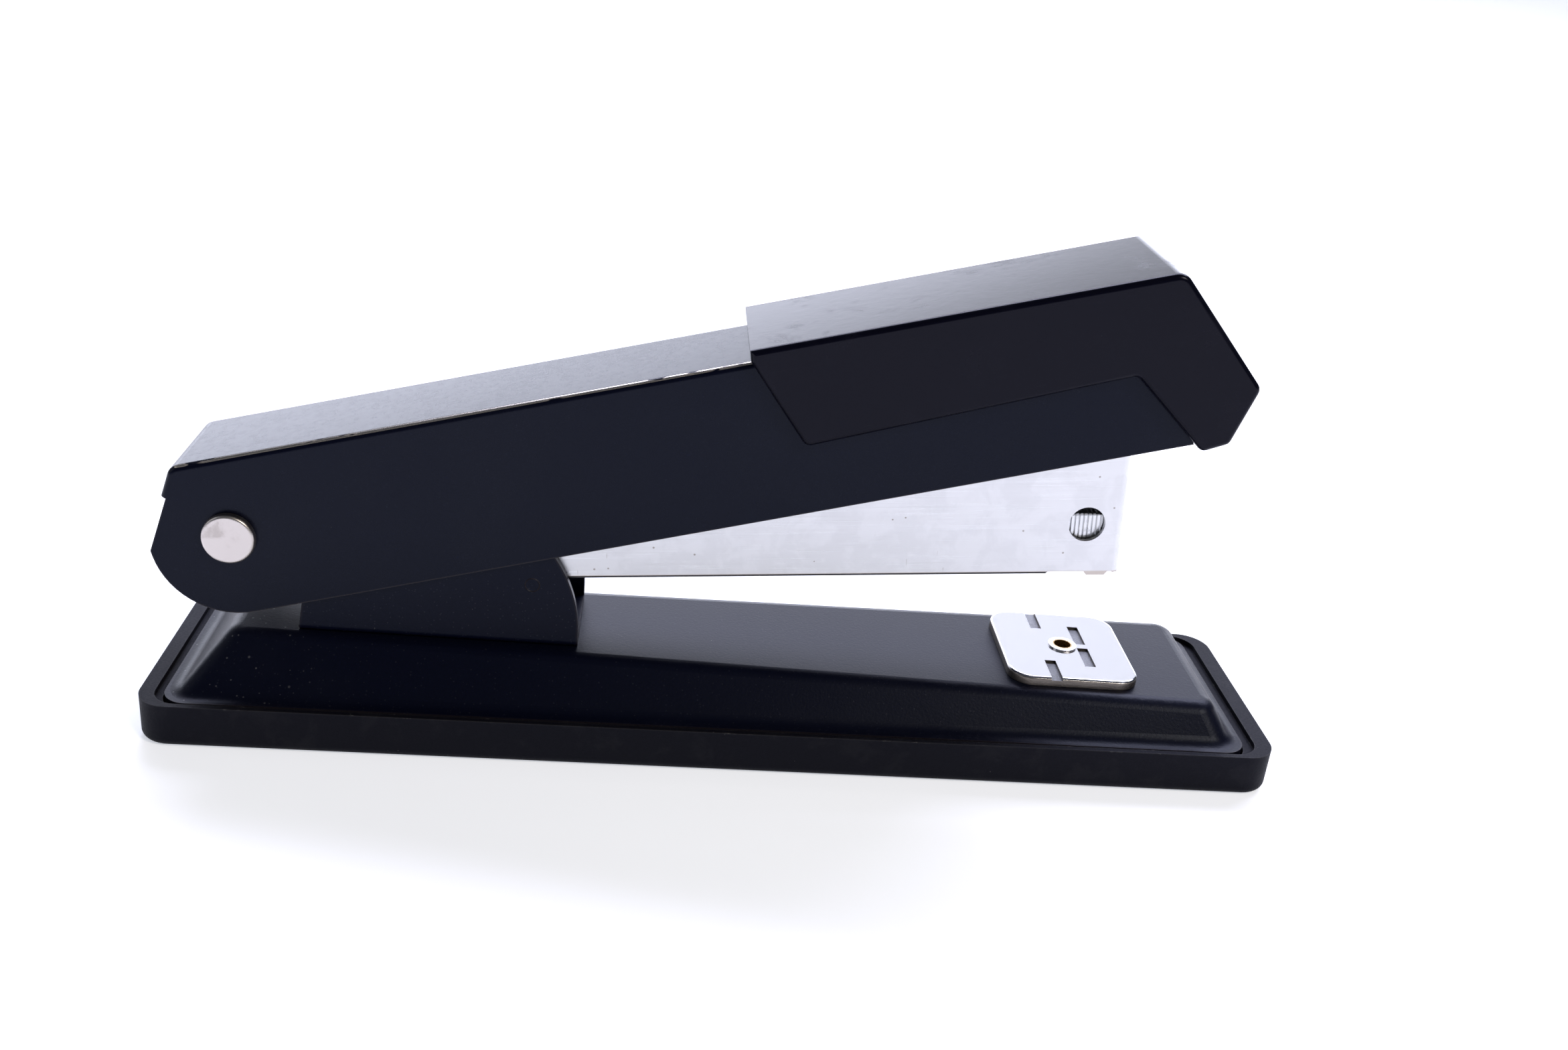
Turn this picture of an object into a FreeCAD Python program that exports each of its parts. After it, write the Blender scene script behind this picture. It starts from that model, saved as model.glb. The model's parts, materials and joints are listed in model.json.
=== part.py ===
import FreeCAD, Part
import math
import os
import re

import Sketcher
from FreeCAD import Placement, Rotation, Vector

# Desk stapler, full-strip size, in its rest position.
#
# Frame: +Z up, +X towards the end where the staple comes out, -Y and +Y the two sides.
# Origin: the centre of the pad's underside, on the surface that the stapler stands on.
#
# Three groups of parts share one pivot pin. The base stays still. The magazine group and the
# handle group are each drawn in a frame of their own, with its origin on the pin's axis, X along
# the group and Z square to it, and are then tilted about the pin to where they rest.

doc = FreeCAD.newDocument("Stapler")
sheet = doc.addObject("Spreadsheet::Sheet", "sizes")

DRIVING_SIZES = [
    # base: a soft pad round a pressed steel plate
    ("pad_length", 184.0),
    ("pad_width", 42.8),
    ("pad_height", 7.4),
    ("pad_floor", 2.0),
    ("pad_corner", 5.0),
    ("pad_bottom_round", 1.4),
    ("rim_side", 1.0),
    ("rim_rear", 2.4),
    ("rim_front", 2.9),
    ("ledge_rear", 1.2),
    ("ledge_front", 1.8),
    ("ledge_drop", 0.9),
    ("plate_gap", 0.25),
    ("plate_wall", 1.0),
    ("plate_corner", 4.0),
    ("plate_bend", 3.0),
    ("flange_width", 1.8),
    ("flange_bend", 3.0),
    ("plateau_height", 14.27),
    ("plateau_fall", 0.76),
    ("plateau_flare", 0.0311),
    ("slope_side", 7.84),
    ("slope_rear", 8.65),
    ("slope_front", 5.05),
    # pivot and bracket
    ("pivot_x", -78.5),
    ("pivot_z", 31.8),
    ("pin_radius", 2.5),
    ("pin_clearance", 0.05),
    ("pin_head_radius", 4.1),
    ("pin_head_height", 1.3),
    ("pin_head_round", 0.5),
    ("side_gap", 0.1),
    ("side_play", 0.3),
    ("bracket_wall", 1.2),
    ("ear_radius", 9.3),
    ("ear_front", -24.4),
    ("ear_front_round", 23.5),
    ("neck_top_reach", 4.3),
    ("neck_reach", 7.4),
    ("neck_drop", 7.0),
    ("neck_low_reach", 10.3),
    ("neck_low_drop", 11.0),
    ("foot_rear", -69.0),
    ("rear_rivet_setback", 7.0),
    ("front_rivet_setback", 13.6),
    ("rivet_radius", 1.6),
    ("rivet_head_radius", 3.0),
    ("rivet_head_height", 0.8),
    ("rivet_clearance", 0.05),
    ("leaf_wall", 0.6),
    ("leaf_width", 10.0),
    ("leaf_setback", 13.0),
    ("leaf_rise_setback", 22.0),
    ("leaf_tip_setback", 4.0),
    ("leaf_bend_shift", 0.3),
    ("leaf_gap", 0.05),
    # anvil, its eyelet, spring and push button
    ("anvil_setback", 4.5),
    ("anvil_length", 22.3),
    ("anvil_width", 23.8),
    ("anvil_wall", 1.6),
    ("anvil_corner", 4.0),
    ("anvil_edge_round", 0.5),
    ("groove_offset", 3.4),
    ("groove_start", 0.7),
    ("groove_width", 1.9),
    ("groove_depth", 0.45),
    ("groove_length", 6.4),
    ("eyelet_radius", 1.95),
    ("eyelet_bore", 1.45),
    ("eyelet_lip_radius", 2.45),
    ("eyelet_lip_height", 0.3),
    ("button_radius", 6.0),
    ("button_wall", 1.6),
    ("button_recess", 0.5),
    ("button_hole_radius", 7.0),
    ("anvil_clearance", 0.06),
    ("anvil_coil_gap", 1.2),
    ("anvil_coil_turns", 5.0),
    ("spring_wire", 0.3),
    ("end_gap", 0.1),
    # magazine
    ("magazine_tilt", 4.2),
    ("magazine_front", 141.7),
    ("magazine_bottom", -8.7),
    ("magazine_rear", -8.8),
    ("magazine_rear_top", 9.3),
    ("magazine_front_top", 14.0),
    ("top_step_start", 20.0),
    ("top_step_end", 60.0),
    ("magazine_wall", 0.8),
    ("magazine_rear_round", 8.0),
    ("magazine_front_round", 1.2),
    ("drive_slot", 1.4),
    ("front_tab_drop", 0.8),
    ("front_tab_slant", 0.2),
    ("lug_drop", 0.65),
    ("lug_start", 0.2),
    ("lug_slant", 0.5),
    ("lug_length", 4.0),
    ("window_setback", 6.15),
    ("window_z", -0.23),
    ("window_radius", 3.0),
    ("staple_crown", 12.9),
    ("staple_leg", 8.0),
    ("staple_wire_size", 0.7),
    ("staple_count", 90.0),
    ("crown_top", 1.17),
    ("crown_gap", 0.07),
    ("crown_play", 0.35),
    ("strip_gap", 0.05),
    ("leg_gap", 0.3),
    ("core_wall", 0.8),
    ("core_slot", 3.2),
    ("core_rear", 8.8),
    ("end_plate_wall", 1.0),
    ("end_plate_top", 3.0),
    ("rail_drop", 0.75),
    ("rail_inset", 0.9),
    ("rail_rear", 6.0),
    ("rail_setback", 11.1),
    ("rail_slant", 0.9),
    ("rear_rail_rivet", 16.0),
    ("middle_rail_rivet", 70.0),
    ("front_rail_rivet_setback", 9.6),
    ("rod_radius", 1.2),
    ("rod_height", -4.2),
    ("rod_setback", 13.7),
    ("pusher_length", 14.0),
    ("pusher_gap", 0.4),
    ("pusher_top", 5.0),
    ("pusher_fit", 0.2),
    ("saddle_gap", 0.15),
    ("push_coil_radius", 2.6),
    ("push_coil_turns", 26.0),
    ("lift_coil_radius", 3.9),
    ("lift_coil_wire", 0.55),
    ("lift_coil_turns", 5.5),
    ("lift_coil_pitch", 1.5),
    ("lift_leg_reach", 26.0),
    ("lift_leg_drop", 2.2),
    ("knuckle_swell", 1.05),
    # handle
    ("handle_tilt", 14.8),
    ("handle_wall", 0.9),
    ("handle_top", 12.75),
    ("handle_bottom", -13.3),
    ("handle_rear", -12.6),
    ("tab_top_x", -5.47),
    ("tab_low_x", -8.2),
    ("tab_drop", 4.28),
    ("tab_round", 2.3),
    ("handle_overhang", 8.8),
    ("front_slant", 1.9),
    ("handle_edge_round", 1.0),
    ("lobe_round", 12.4),
    # cap: each reach is how far the corner stands behind the handle's front
    ("cap_gap", 0.5),
    ("cap_wall", 1.6),
    ("cap_front_wall", 1.9),
    ("cap_rise", 2.4),
    ("cap_reach", 65.7),
    ("lip_reach", 65.9),
    ("lip_drop", 1.75),
    ("waist_reach", 63.3),
    ("waist_z", 6.7),
    ("heel_reach", 60.0),
    ("heel_z", -1.55),
    ("heel_round", 1.4),
    ("arch_reach", 8.3),
    ("arch_z", 0.25),
    ("toe_reach", -0.7),
    ("toe_z", -14.1),
    ("toe_round", 1.3),
    ("tip_reach", -5.1),
    ("tip_z", -13.6),
    ("nose_reach", -10.5),
    ("nose_z", -5.4),
    ("nose_round", 1.5),
    ("brow_reach", -0.1),
    ("brow_round", 2.4),
    ("cap_edge_round", 0.9),
    ("rear_screw_setback", 7.2),
    ("front_screw_reach", 18.5),
    ("screw_radius", 1.2),
    ("screw_head_radius", 2.0),
    ("screw_depth", 1.4),
    ("screw_spread", 6.8),
    ("screw_head_height", 0.9),
    ("boss_radius", 3.0),
    ("boss_root", 0.2),
    ("blade_wall", 0.6),
    ("blade_play", 0.15),
    ("blade_top_gap", 0.4),
    ("blade_setback", 2.31),
    ("blade_tip_z", -17.44),
    ("blade_lean", 3.5),
    ("holder_wall", 0.8),
    ("holder_half_width", 4.2),
    ("holder_reach", 39.39),
    ("holder_flange_bottom", 2.0),
    ("holder_rivet_setback", 7.0),
    ("holder_rivet_spacing", 12.0),
    ("low_head_height", 0.5),
    ("blade_rivet_z", 6.0),
    ("blade_rivet_spread", 2.2),
    ("small_head_height", 0.3),
    # how far a cut runs past the stock that it opens
    ("cut_margin", 5.0),
]

for row, (alias, size) in enumerate(DRIVING_SIZES, start=1):
    sheet.set("A%d" % row, alias)
    sheet.set("B%d" % row, str(size))
    sheet.setAlias("B%d" % row, alias)
doc.recompute()


# ------------------------------------------------------------------ sizes and expressions

def bound(expression):
    """The expression as the document reads it: each size's name points at its cell."""
    return re.sub(r"[a-z]+_[a-z_]+", lambda name: "sizes." + name.group(), str(expression))


def size(expression):
    """The expression's present value in millimetres or degrees."""
    result = sheet.evalExpression(bound(expression))
    return float(getattr(result, "Value", result))


def bind(feature, prop, expression):
    feature.setExpression(prop, bound(expression))


# ------------------------------------------------------------------ bodies and features

def new_body(name):
    body = doc.addObject("PartDesign::Body", name)
    body.Label = name
    return body


def new_sketch(body, name, plane, height="0"):
    """An empty sketch on one of the body's own planes, lifted off it by height."""
    sketch = body.newObject("Sketcher::SketchObject", body.Name + "_" + name)
    origin = [item for item in body.Origin.OriginFeatures if item.Role == plane][0]
    sketch.AttachmentSupport = [(origin, "")]
    sketch.MapMode = "FlatFace"
    bind(sketch, "AttachmentOffset.Base.z", height)
    return sketch


def pin_point(sketch, geometry, point, where):
    """Ties one point of the sketch to its two bound coordinates."""
    for kind, expression in zip(("DistanceX", "DistanceY"), where):
        number = sketch.addConstraint(
            Sketcher.Constraint(kind, -1, 1, geometry, point, size(expression)))
        bind(sketch, "Constraints[%d]" % number, expression)


def draw_polygon(sketch, corners):
    """A closed outline whose corners are pairs of expressions."""
    places = [Vector(size(x), size(y), 0) for x, y in corners]
    first = sketch.GeometryCount
    count = len(corners)
    for step in range(count):
        sketch.addGeometry(Part.LineSegment(places[step], places[(step + 1) % count]), False)
    for step in range(count):
        following = first + (step + 1) % count
        sketch.addConstraint(Sketcher.Constraint("Coincident", first + step, 2, following, 1))
    for step, corner in enumerate(corners):
        pin_point(sketch, first + step, 1, corner)


def draw_rectangle(sketch, left, bottom, right, top):
    draw_polygon(sketch, [(left, bottom), (right, bottom), (right, top), (left, top)])


def draw_rounded_rectangle(sketch, left, bottom, right, top, radius):
    """A rectangle whose corners are quarter circles of a bound radius."""
    def inward(edge, sign):
        return "(%s %s %s)" % (edge, sign, radius)

    # each corner: where the side arrives, where the next side leaves, and the arc's middle angle
    corners = [((inward(right, "-"), bottom), (right, inward(bottom, "+")), -90),
               ((right, inward(top, "-")), (inward(right, "-"), top), 0),
               ((inward(left, "+"), top), (left, inward(top, "-")), 90),
               ((left, inward(bottom, "+")), (inward(left, "+"), bottom), 180)]
    first = sketch.GeometryCount
    for (arrive, leave, turn), previous in zip(corners, corners[-1:] + corners[:-1]):
        start = Vector(size(previous[1][0]), size(previous[1][1]), 0)
        end = Vector(size(arrive[0]), size(arrive[1]), 0)
        sketch.addGeometry(Part.LineSegment(start, end), False)
        finish = Vector(size(leave[0]), size(leave[1]), 0)
        middle = Vector(size(radius), 0, 0)
        centre = end + Rotation(Vector(0, 0, 1), turn + 180).multVec(middle)
        circle = Part.Circle(centre, Vector(0, 0, 1), size(radius))
        arc = Part.ArcOfCircle(circle, math.radians(turn), math.radians(turn + 90))
        if (arc.StartPoint - end).Length > 0.01 or (arc.EndPoint - finish).Length > 0.01:
            raise RuntimeError("corner arc is misplaced")
        sketch.addGeometry(arc, False)
    for step in range(4):
        line = first + 2 * step
        arc = line + 1
        following = first + 2 * ((step + 1) % 4)
        pin_point(sketch, line, 1, corners[step - 1][1])
        pin_point(sketch, line, 2, corners[step][0])
        sketch.addConstraint(Sketcher.Constraint("Coincident", line, 2, arc, 1))
        sketch.addConstraint(Sketcher.Constraint("Coincident", arc, 2, following, 1))
        limit = sketch.addConstraint(Sketcher.Constraint("Radius", arc, size(radius)))
        bind(sketch, "Constraints[%d]" % limit, radius)


def draw_circle(sketch, x, y, radius):
    circle = Part.Circle(Vector(size(x), size(y), 0), Vector(0, 0, 1), size(radius))
    number = sketch.addGeometry(circle, False)
    pin_point(sketch, number, 3, (x, y))
    limit = sketch.addConstraint(Sketcher.Constraint("Radius", number, size(radius)))
    bind(sketch, "Constraints[%d]" % limit, radius)


def must_build(feature):
    """Stops at once on a feature that the document could not work out."""
    doc.recompute()
    if "Invalid" in feature.State or "Error" in feature.State or feature.Shape.isNull():
        raise RuntimeError("%s did not build" % feature.Name)
    return feature


def add_feature(body, kind, name, sketch, length, centred=True, reverse=False):
    """A pad or pocket of a bound length, about its sketch's plane or to one side of it."""
    feature = body.newObject("PartDesign::" + kind, body.Name + "_" + name)
    feature.Profile = sketch
    feature.Midplane = centred
    feature.Reversed = reverse
    bind(feature, "Length", length)
    return must_build(feature)


def pad(body, name, sketch, length, **options):
    return add_feature(body, "Pad", name, sketch, length, **options)


def pocket(body, name, sketch, length, **options):
    """A pocket that must take something away."""
    before = body.Shape.Volume
    feature = add_feature(body, "Pocket", name, sketch, length, **options)
    if body.Shape.Volume > before - 1e-6:
        raise RuntimeError("%s cut nothing from %s" % (name, body.Name))
    return feature


def side_pad(body, name, corners, width):
    """A flat outline seen from the side, thickened evenly to both sides of the middle."""
    sketch = new_sketch(body, name + "_outline", "XZ_Plane")
    draw_polygon(sketch, corners)
    return pad(body, name, sketch, width)


def side_pocket(body, name, corners, width):
    sketch = new_sketch(body, name + "_outline", "XZ_Plane")
    draw_polygon(sketch, corners)
    return pocket(body, name, sketch, width)


def down_holes(body, name, top, places, radius, depth):
    """Round holes sunk from the height top at pairs of places in the plan."""
    sketch = new_sketch(body, name + "_outline", "XY_Plane", top)
    for x, y in places:
        draw_circle(sketch, x, y, radius)
    return pocket(body, name, sketch, depth, centred=False)


def cross_hole(body, name, x, z, radius, width):
    """A round hole straight through from side to side."""
    sketch = new_sketch(body, name + "_outline", "XZ_Plane")
    draw_circle(sketch, x, z, radius)
    return pocket(body, name, sketch, width)


def round_edges(body, name, radius, chosen):
    """Rounds the edges that chosen() picks."""
    tip = body.Tip
    names = ["Edge%d" % number for number, edge in enumerate(tip.Shape.Edges, 1) if chosen(edge)]
    if not names:
        raise RuntimeError("no edge for %s on %s" % (name, body.Name))
    feature = body.newObject("PartDesign::Fillet", body.Name + "_" + name)
    feature.Base = (tip, names)
    bind(feature, "Radius", radius)
    return must_build(feature)


def runs_through(edge, x, z, reach=0.01):
    """True for a straight edge along Y that stands at x, z in the side view."""
    start, end = edge.Vertexes[0].Point, edge.Vertexes[-1].Point
    along_y = abs(start.x - end.x) + abs(start.z - end.z) < reach and abs(start.y - end.y) > reach
    return along_y and abs(start.x - size(x)) < reach and abs(start.z - size(z)) < reach


def round_side_corners(body, name, radius, places):
    """Rounds the corners of a side outline that stand at the given places."""
    return round_edges(body, name, radius,
                       lambda edge: any(runs_through(edge, x, z) for x, z in places))


def stands_upright(edge, reach=0.01):
    start, end = edge.Vertexes[0].Point, edge.Vertexes[-1].Point
    return abs(start.x - end.x) + abs(start.y - end.y) < reach and abs(start.z - end.z) > reach


def lies_at(edge, height, reach=0.01):
    """True for an edge whose every point is at one height."""
    return all(abs(edge.valueAt(at).z - height) < reach
               for at in (edge.FirstParameter, edge.LastParameter)) and not stands_upright(edge)


# ------------------------------------------------------------------ where the groups rest

PIVOT = Vector(size("pivot_x"), 0, size("pivot_z"))
# widths build outwards from the staple: channel, bracket ears, handle, cap
INNER_SIDE = "(staple_crown / 2 + crown_play)"
CHANNEL_SIDE = "(%s + magazine_wall)" % INNER_SIDE
EAR_INSIDE = "(%s + side_play)" % CHANNEL_SIDE
EAR_SIDE = "(%s + bracket_wall)" % EAR_INSIDE
HANDLE_INSIDE = "(%s + side_play)" % EAR_SIDE
HANDLE_SIDE = "(%s + handle_wall)" % HANDLE_INSIDE
CAP_INSIDE = "(%s + cap_gap)" % HANDLE_SIDE
CAP_SIDE = "(%s + cap_wall)" % CAP_INSIDE
# lengths build on the magazine's front
ANVIL_X = "(pivot_x + magazine_front - anvil_setback)"
HANDLE_FRONT = "(magazine_front + handle_overhang)"


def tilted(angle):
    """The place of a group's frame: its origin on the pin, its X raised by angle."""
    return Placement(PIVOT, Rotation(Vector(0, -1, 0), size(angle)))


BASE_PLACE = Placement()
MAGAZINE_PLACE = tilted("magazine_tilt")
HANDLE_PLACE = tilted("handle_tilt")
# the plateau falls a little towards the front, and the anvil stands square to it
PLATEAU = "(plateau_height - tan(plateau_fall * 1 deg) * %s)"
ANVIL_PLACE = Placement(Vector(size(ANVIL_X), 0, size(PLATEAU % ANVIL_X)),
                        Rotation(Vector(0, 1, 0), size("plateau_fall")))

nodes = []


def keep(node, place):
    """Places a finished sub-part and lists it for writing."""
    node.Placement = place
    nodes.append(node)


def round_bar(name, radius, start, end):
    """A solid cylinder between two points, as a plain shape."""
    line = end - start
    return Part.makeCylinder(radius, line.Length, start, line)


def shape_node(name, shape, place):
    """A sub-part whose shape is worked out here from the sheet's sizes."""
    node = doc.addObject("Part::Feature", name)
    node.Label = name
    node.Shape = shape
    keep(node, place)


def rivets(name, axis, stations, radius, head_radius, lower_head, upper_head, place):
    """A row of rivets. Each station is the rivet's lower and upper bearing point."""
    solids = []
    for low, high in stations:
        shank = Part.makeCylinder(radius, (high - low).Length, low, axis)
        bottom = Part.makeCylinder(head_radius, lower_head, low - axis * lower_head, axis)
        top = Part.makeCylinder(head_radius, upper_head, high, axis)
        solids.append(shank.fuse([bottom, top]).removeSplitter())
    shape_node(name, Part.makeCompound(solids), place)


# ------------------------------------------------------------------ base

PAD_REAR = "(0 - pad_length / 2)"
PAD_FRONT = "(pad_length / 2)"
PAD_SIDE = "(pad_width / 2)"
SEAT_REAR = "(%s + rim_rear + ledge_rear)" % PAD_REAR
SEAT_FRONT = "(%s - rim_front - ledge_front)" % PAD_FRONT
SEAT_SIDE = "(%s - rim_side)" % PAD_SIDE
PLATE_REAR = "(%s + plate_gap)" % SEAT_REAR
PLATE_FRONT = "(%s - plate_gap)" % SEAT_FRONT
PLATE_SIDE = "(%s - plate_gap)" % SEAT_SIDE
PLATEAU_REAR = "(%s + slope_rear)" % PLATE_REAR
PLATEAU_FRONT = "(%s - slope_front)" % PLATE_FRONT
PLATEAU_WIDTH = "(" + PLATE_SIDE + " - slope_side + plateau_flare * %s)"


def make_base_pad():
    """The soft foot: a tray whose rim holds the steel plate."""
    body = new_body("base_pad")
    block = new_sketch(body, "block", "XY_Plane")
    draw_rectangle(block, PAD_REAR, "0 - " + PAD_SIDE, PAD_FRONT, PAD_SIDE)
    pad(body, "block_pad", block, "pad_height", centred=False)
    round_edges(body, "corners", "pad_corner", stands_upright)
    round_edges(body, "bottom_round", "pad_bottom_round", lambda edge: lies_at(edge, 0))
    ledge = new_sketch(body, "ledge", "XY_Plane", "pad_height")
    draw_rounded_rectangle(ledge, PAD_REAR + " + rim_rear", "0 - " + SEAT_SIDE,
                           PAD_FRONT + " - rim_front", SEAT_SIDE, "plate_corner")
    pocket(body, "ledge_cut", ledge, "ledge_drop", centred=False)
    seat = new_sketch(body, "seat", "XY_Plane", "pad_height")
    draw_rounded_rectangle(seat, SEAT_REAR, "0 - " + SEAT_SIDE, SEAT_FRONT, SEAT_SIDE,
                           "plate_corner")
    pocket(body, "seat_cut", seat, "pad_height - pad_floor", centred=False)
    down_holes(body, "access", "pad_floor", [(ANVIL_X, "0")], "button_hole_radius", "pad_floor")
    keep(body, BASE_PLACE)


def plate_form(body, name, kind, inset):
    """One skin of the pressed plate: a plateau and slopes that stand on the flat flange."""
    foot = new_sketch(body, name + "_foot", "XY_Plane", "pad_height - %s" % inset)
    along = "(flange_width + %s)" % inset
    draw_rectangle(foot, PLATE_REAR + " + " + along, "0 - %s + %s" % (PLATE_SIDE, along),
                   PLATE_FRONT + " - " + along, PLATE_SIDE + " - " + along)
    crown = new_sketch(body, name + "_crown", "XY_Plane", "plateau_height - %s" % inset)
    bind(crown, "AttachmentOffset.Rotation.Axis.y", "1")
    bind(crown, "AttachmentOffset.Rotation.Axis.z", "0")
    bind(crown, "AttachmentOffset.Rotation.Angle", "plateau_fall")
    crown_inset = "%s / 2" % inset
    corners = []
    for end, sign in ((PLATEAU_REAR, "+"), (PLATEAU_FRONT, "-")):
        along = "%s %s %s" % (end, sign, crown_inset)
        across = PLATEAU_WIDTH % end + " - " + crown_inset
        corners.append((along, across))
    (rear, rear_side), (front, front_side) = corners
    draw_polygon(crown, [(rear, "0 - (%s)" % rear_side), (front, "0 - (%s)" % front_side),
                         (front, front_side), (rear, rear_side)])
    loft = body.newObject("PartDesign::" + kind + "Loft", body.Name + "_" + name)
    loft.Profile = foot
    loft.Sections = [crown]
    loft.Ruled = True
    must_build(loft)


def plate_rim(body, name, inset):
    """The plate's outer rectangle at the flange, drawn in by inset."""
    rim = new_sketch(body, name + "_rim", "XY_Plane", "pad_height - %s" % inset)
    draw_rectangle(rim, PLATE_REAR + " + " + inset, "0 - %s + %s" % (PLATE_SIDE, inset),
                   PLATE_FRONT + " - " + inset, PLATE_SIDE + " - " + inset)
    return rim


BRACKET_RIVETS = (("foot_rear + rear_rivet_setback", "0"), ("ear_front - front_rivet_setback", "0"))


def make_base_plate():
    """The pressed steel plate that the bracket and the anvil stand on."""
    body = new_body("base_plate")
    pad(body, "skirt", plate_rim(body, "outer", "0"), "pad_height - pad_floor", centred=False,
        reverse=True)
    plate_form(body, "outer", "Additive", "0")
    flange = size("pad_height")
    halfway = (size("pad_height") + size(PLATEAU % PLATEAU_FRONT)) / 2

    def is_plateau(edge):
        return min(vertex.Z for vertex in edge.Vertexes) > halfway

    def is_hip(edge):
        low, high = sorted(vertex.Z for vertex in edge.Vertexes)
        return high > halfway > low

    inset = 0.9 * size("flange_width")
    half_width = size(PLATE_SIDE)
    rear = size(PLATE_REAR)
    front = size(PLATE_FRONT)

    def is_foot(edge):
        middle = edge.CenterOfMass
        inside = min(half_width - abs(middle.y), middle.x - rear, front - middle.x)
        return lies_at(edge, flange) and inside > inset

    round_edges(body, "hips", "plate_corner", lambda edge: is_hip(edge) or stands_upright(edge))
    round_edges(body, "foot_bend", "flange_bend", is_foot)
    round_edges(body, "bends", "plate_bend", is_plateau)
    plate_form(body, "inner", "Subtractive", "plate_wall")
    pocket(body, "skirt_cavity", plate_rim(body, "inner", "plate_wall"),
           "pad_height - plate_wall - pad_floor", centred=False)
    above = "plateau_height + 2 * plate_wall"
    down_holes(body, "anvil_hole", above, [(ANVIL_X, "0")], "eyelet_radius + anvil_clearance",
               "pad_height")
    down_holes(body, "rivet_holes", above, BRACKET_RIVETS, "rivet_radius + rivet_clearance",
               "pad_height")
    keep(body, BASE_PLACE)


def make_pivot_bracket():
    """The U bracket: a web riveted to the plateau and two ears that hold the pin."""
    body = new_body("pivot_bracket")
    foot_rear = PLATEAU % "foot_rear"
    foot_front = PLATEAU % "ear_front"
    lobe_rear = "pivot_x - ear_radius"
    lobe_low = "pivot_z - ear_radius"
    lobe_high = "pivot_z + ear_radius"
    outline = [("foot_rear", foot_rear), ("ear_front", foot_front), ("ear_front", lobe_high),
               (lobe_rear, lobe_high), (lobe_rear, lobe_low), ("pivot_x + neck_top_reach", lobe_low),
               ("pivot_x + neck_reach", "pivot_z - neck_drop"),
               ("pivot_x + neck_low_reach", "pivot_z - neck_low_drop")]
    side_pad(body, "block", outline, "2 * " + EAR_SIDE)
    # two rounds of the full radius would leave no edge between them, so each stops a hair short
    round_side_corners(body, "lobe", "ear_radius - 0.01",
                       [(lobe_rear, lobe_high), (lobe_rear, lobe_low)])
    round_side_corners(body, "front", "ear_front_round", [("ear_front", lobe_high)])
    web_rear = "(%s + bracket_wall)" % foot_rear
    web_front = "(%s + bracket_wall)" % foot_front
    behind = "(%s - cut_margin)" % lobe_rear
    above = "(%s + cut_margin)" % lobe_high
    side_pocket(body, "channel", [(behind, web_rear), ("foot_rear", web_rear),
                                  ("ear_front", web_front), ("ear_front + cut_margin", web_front),
                                  ("ear_front + cut_margin", above), (behind, above)],
                "2 * " + EAR_INSIDE)
    cross_hole(body, "pin_hole", "pivot_x", "pivot_z", "pin_radius", "4 * " + EAR_SIDE)
    down_holes(body, "rivet_holes", "pivot_z", BRACKET_RIVETS, "rivet_radius + rivet_clearance",
               "pivot_z")
    round_edges(body, "outer_bends", "bracket_wall",
                lambda edge: abs(abs(edge.CenterOfMass.y) - size(EAR_SIDE)) < 0.01
                and edge.CenterOfMass.z < size(foot_rear) + 0.01 and edge.Length > 20)
    keep(body, BASE_PLACE)


def plateau_normal():
    fall = math.radians(size("plateau_fall"))
    return Vector(math.sin(fall), 0, math.cos(fall))


def on_plateau(x, lift):
    """A point on the middle line at lift above the plateau, measured square to it."""
    fall = math.tan(math.radians(size("plateau_fall")))
    return Vector(x, 0, size("plateau_height") - fall * x) + plateau_normal() * lift


def make_bracket_rivets():
    """Rivets through the web and the plateau."""
    stations = [(on_plateau(size(x), -size("plate_wall")), on_plateau(size(x), size("bracket_wall")))
                for x, _ in BRACKET_RIVETS]
    rivets("bracket_rivets", plateau_normal(), stations, size("rivet_radius"),
           size("rivet_head_radius"), size("rivet_head_height"), size("rivet_head_height"),
           BASE_PLACE)


def make_pivot_pin():
    """The pin through both ears, the magazine and the handle, with a head at each end."""
    body = new_body("pivot_pin")
    sketch = new_sketch(body, "half_section", "XY_Plane")
    seat = "(%s + side_gap)" % HANDLE_SIDE
    end = "(%s + pin_head_height)" % seat
    draw_polygon(sketch, [("0", "0 - " + end), ("pin_head_radius", "0 - " + end),
                          ("pin_head_radius", "0 - " + seat), ("pin_radius", "0 - " + seat),
                          ("pin_radius", seat), ("pin_head_radius", seat),
                          ("pin_head_radius", end), ("0", end)])
    turned = body.newObject("PartDesign::Revolution", "pivot_pin_turned")
    turned.Profile = sketch
    turned.ReferenceAxis = (sketch, ["V_Axis"])
    must_build(turned)
    rim = size("pin_head_radius")
    far = size(end)
    round_edges(body, "head_rounds", "pin_head_round",
                lambda edge: len(edge.Vertexes) == 1 and abs(edge.Curve.Radius - rim) < 0.01
                and abs(abs(edge.CenterOfMass.y) - far) < 0.01)
    keep(body, Placement(PIVOT, Rotation()))


def make_lift_spring():
    """The leaf that holds the magazine up: flat under one rivet head, then rising forwards."""
    body = new_body("lift_spring")
    wall = "leaf_wall"
    seat = "(%s + bracket_wall)" % (PLATEAU % "foot_rear")
    tip_x = "(ear_front - leaf_tip_setback)"
    rise = "(%s - pivot_x) * tan(magazine_tilt * 1 deg)" % tip_x
    rail_drop = "(magazine_bottom - rail_drop) / cos(magazine_tilt * 1 deg)"
    tip_top = "(pivot_z + %s + %s - leaf_gap)" % (rise, rail_drop)
    flat_rear = "(foot_rear + leaf_setback)"
    flat_front = "(ear_front - leaf_rise_setback)"
    outline = [(flat_rear, seat), (flat_front, seat), (tip_x, tip_top + " - " + wall),
               (tip_x, tip_top), (flat_front + " - leaf_bend_shift", seat + " + " + wall),
               (flat_rear, seat + " + " + wall)]
    side_pad(body, "leaf", outline, "leaf_width")
    keep(body, BASE_PLACE)


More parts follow.
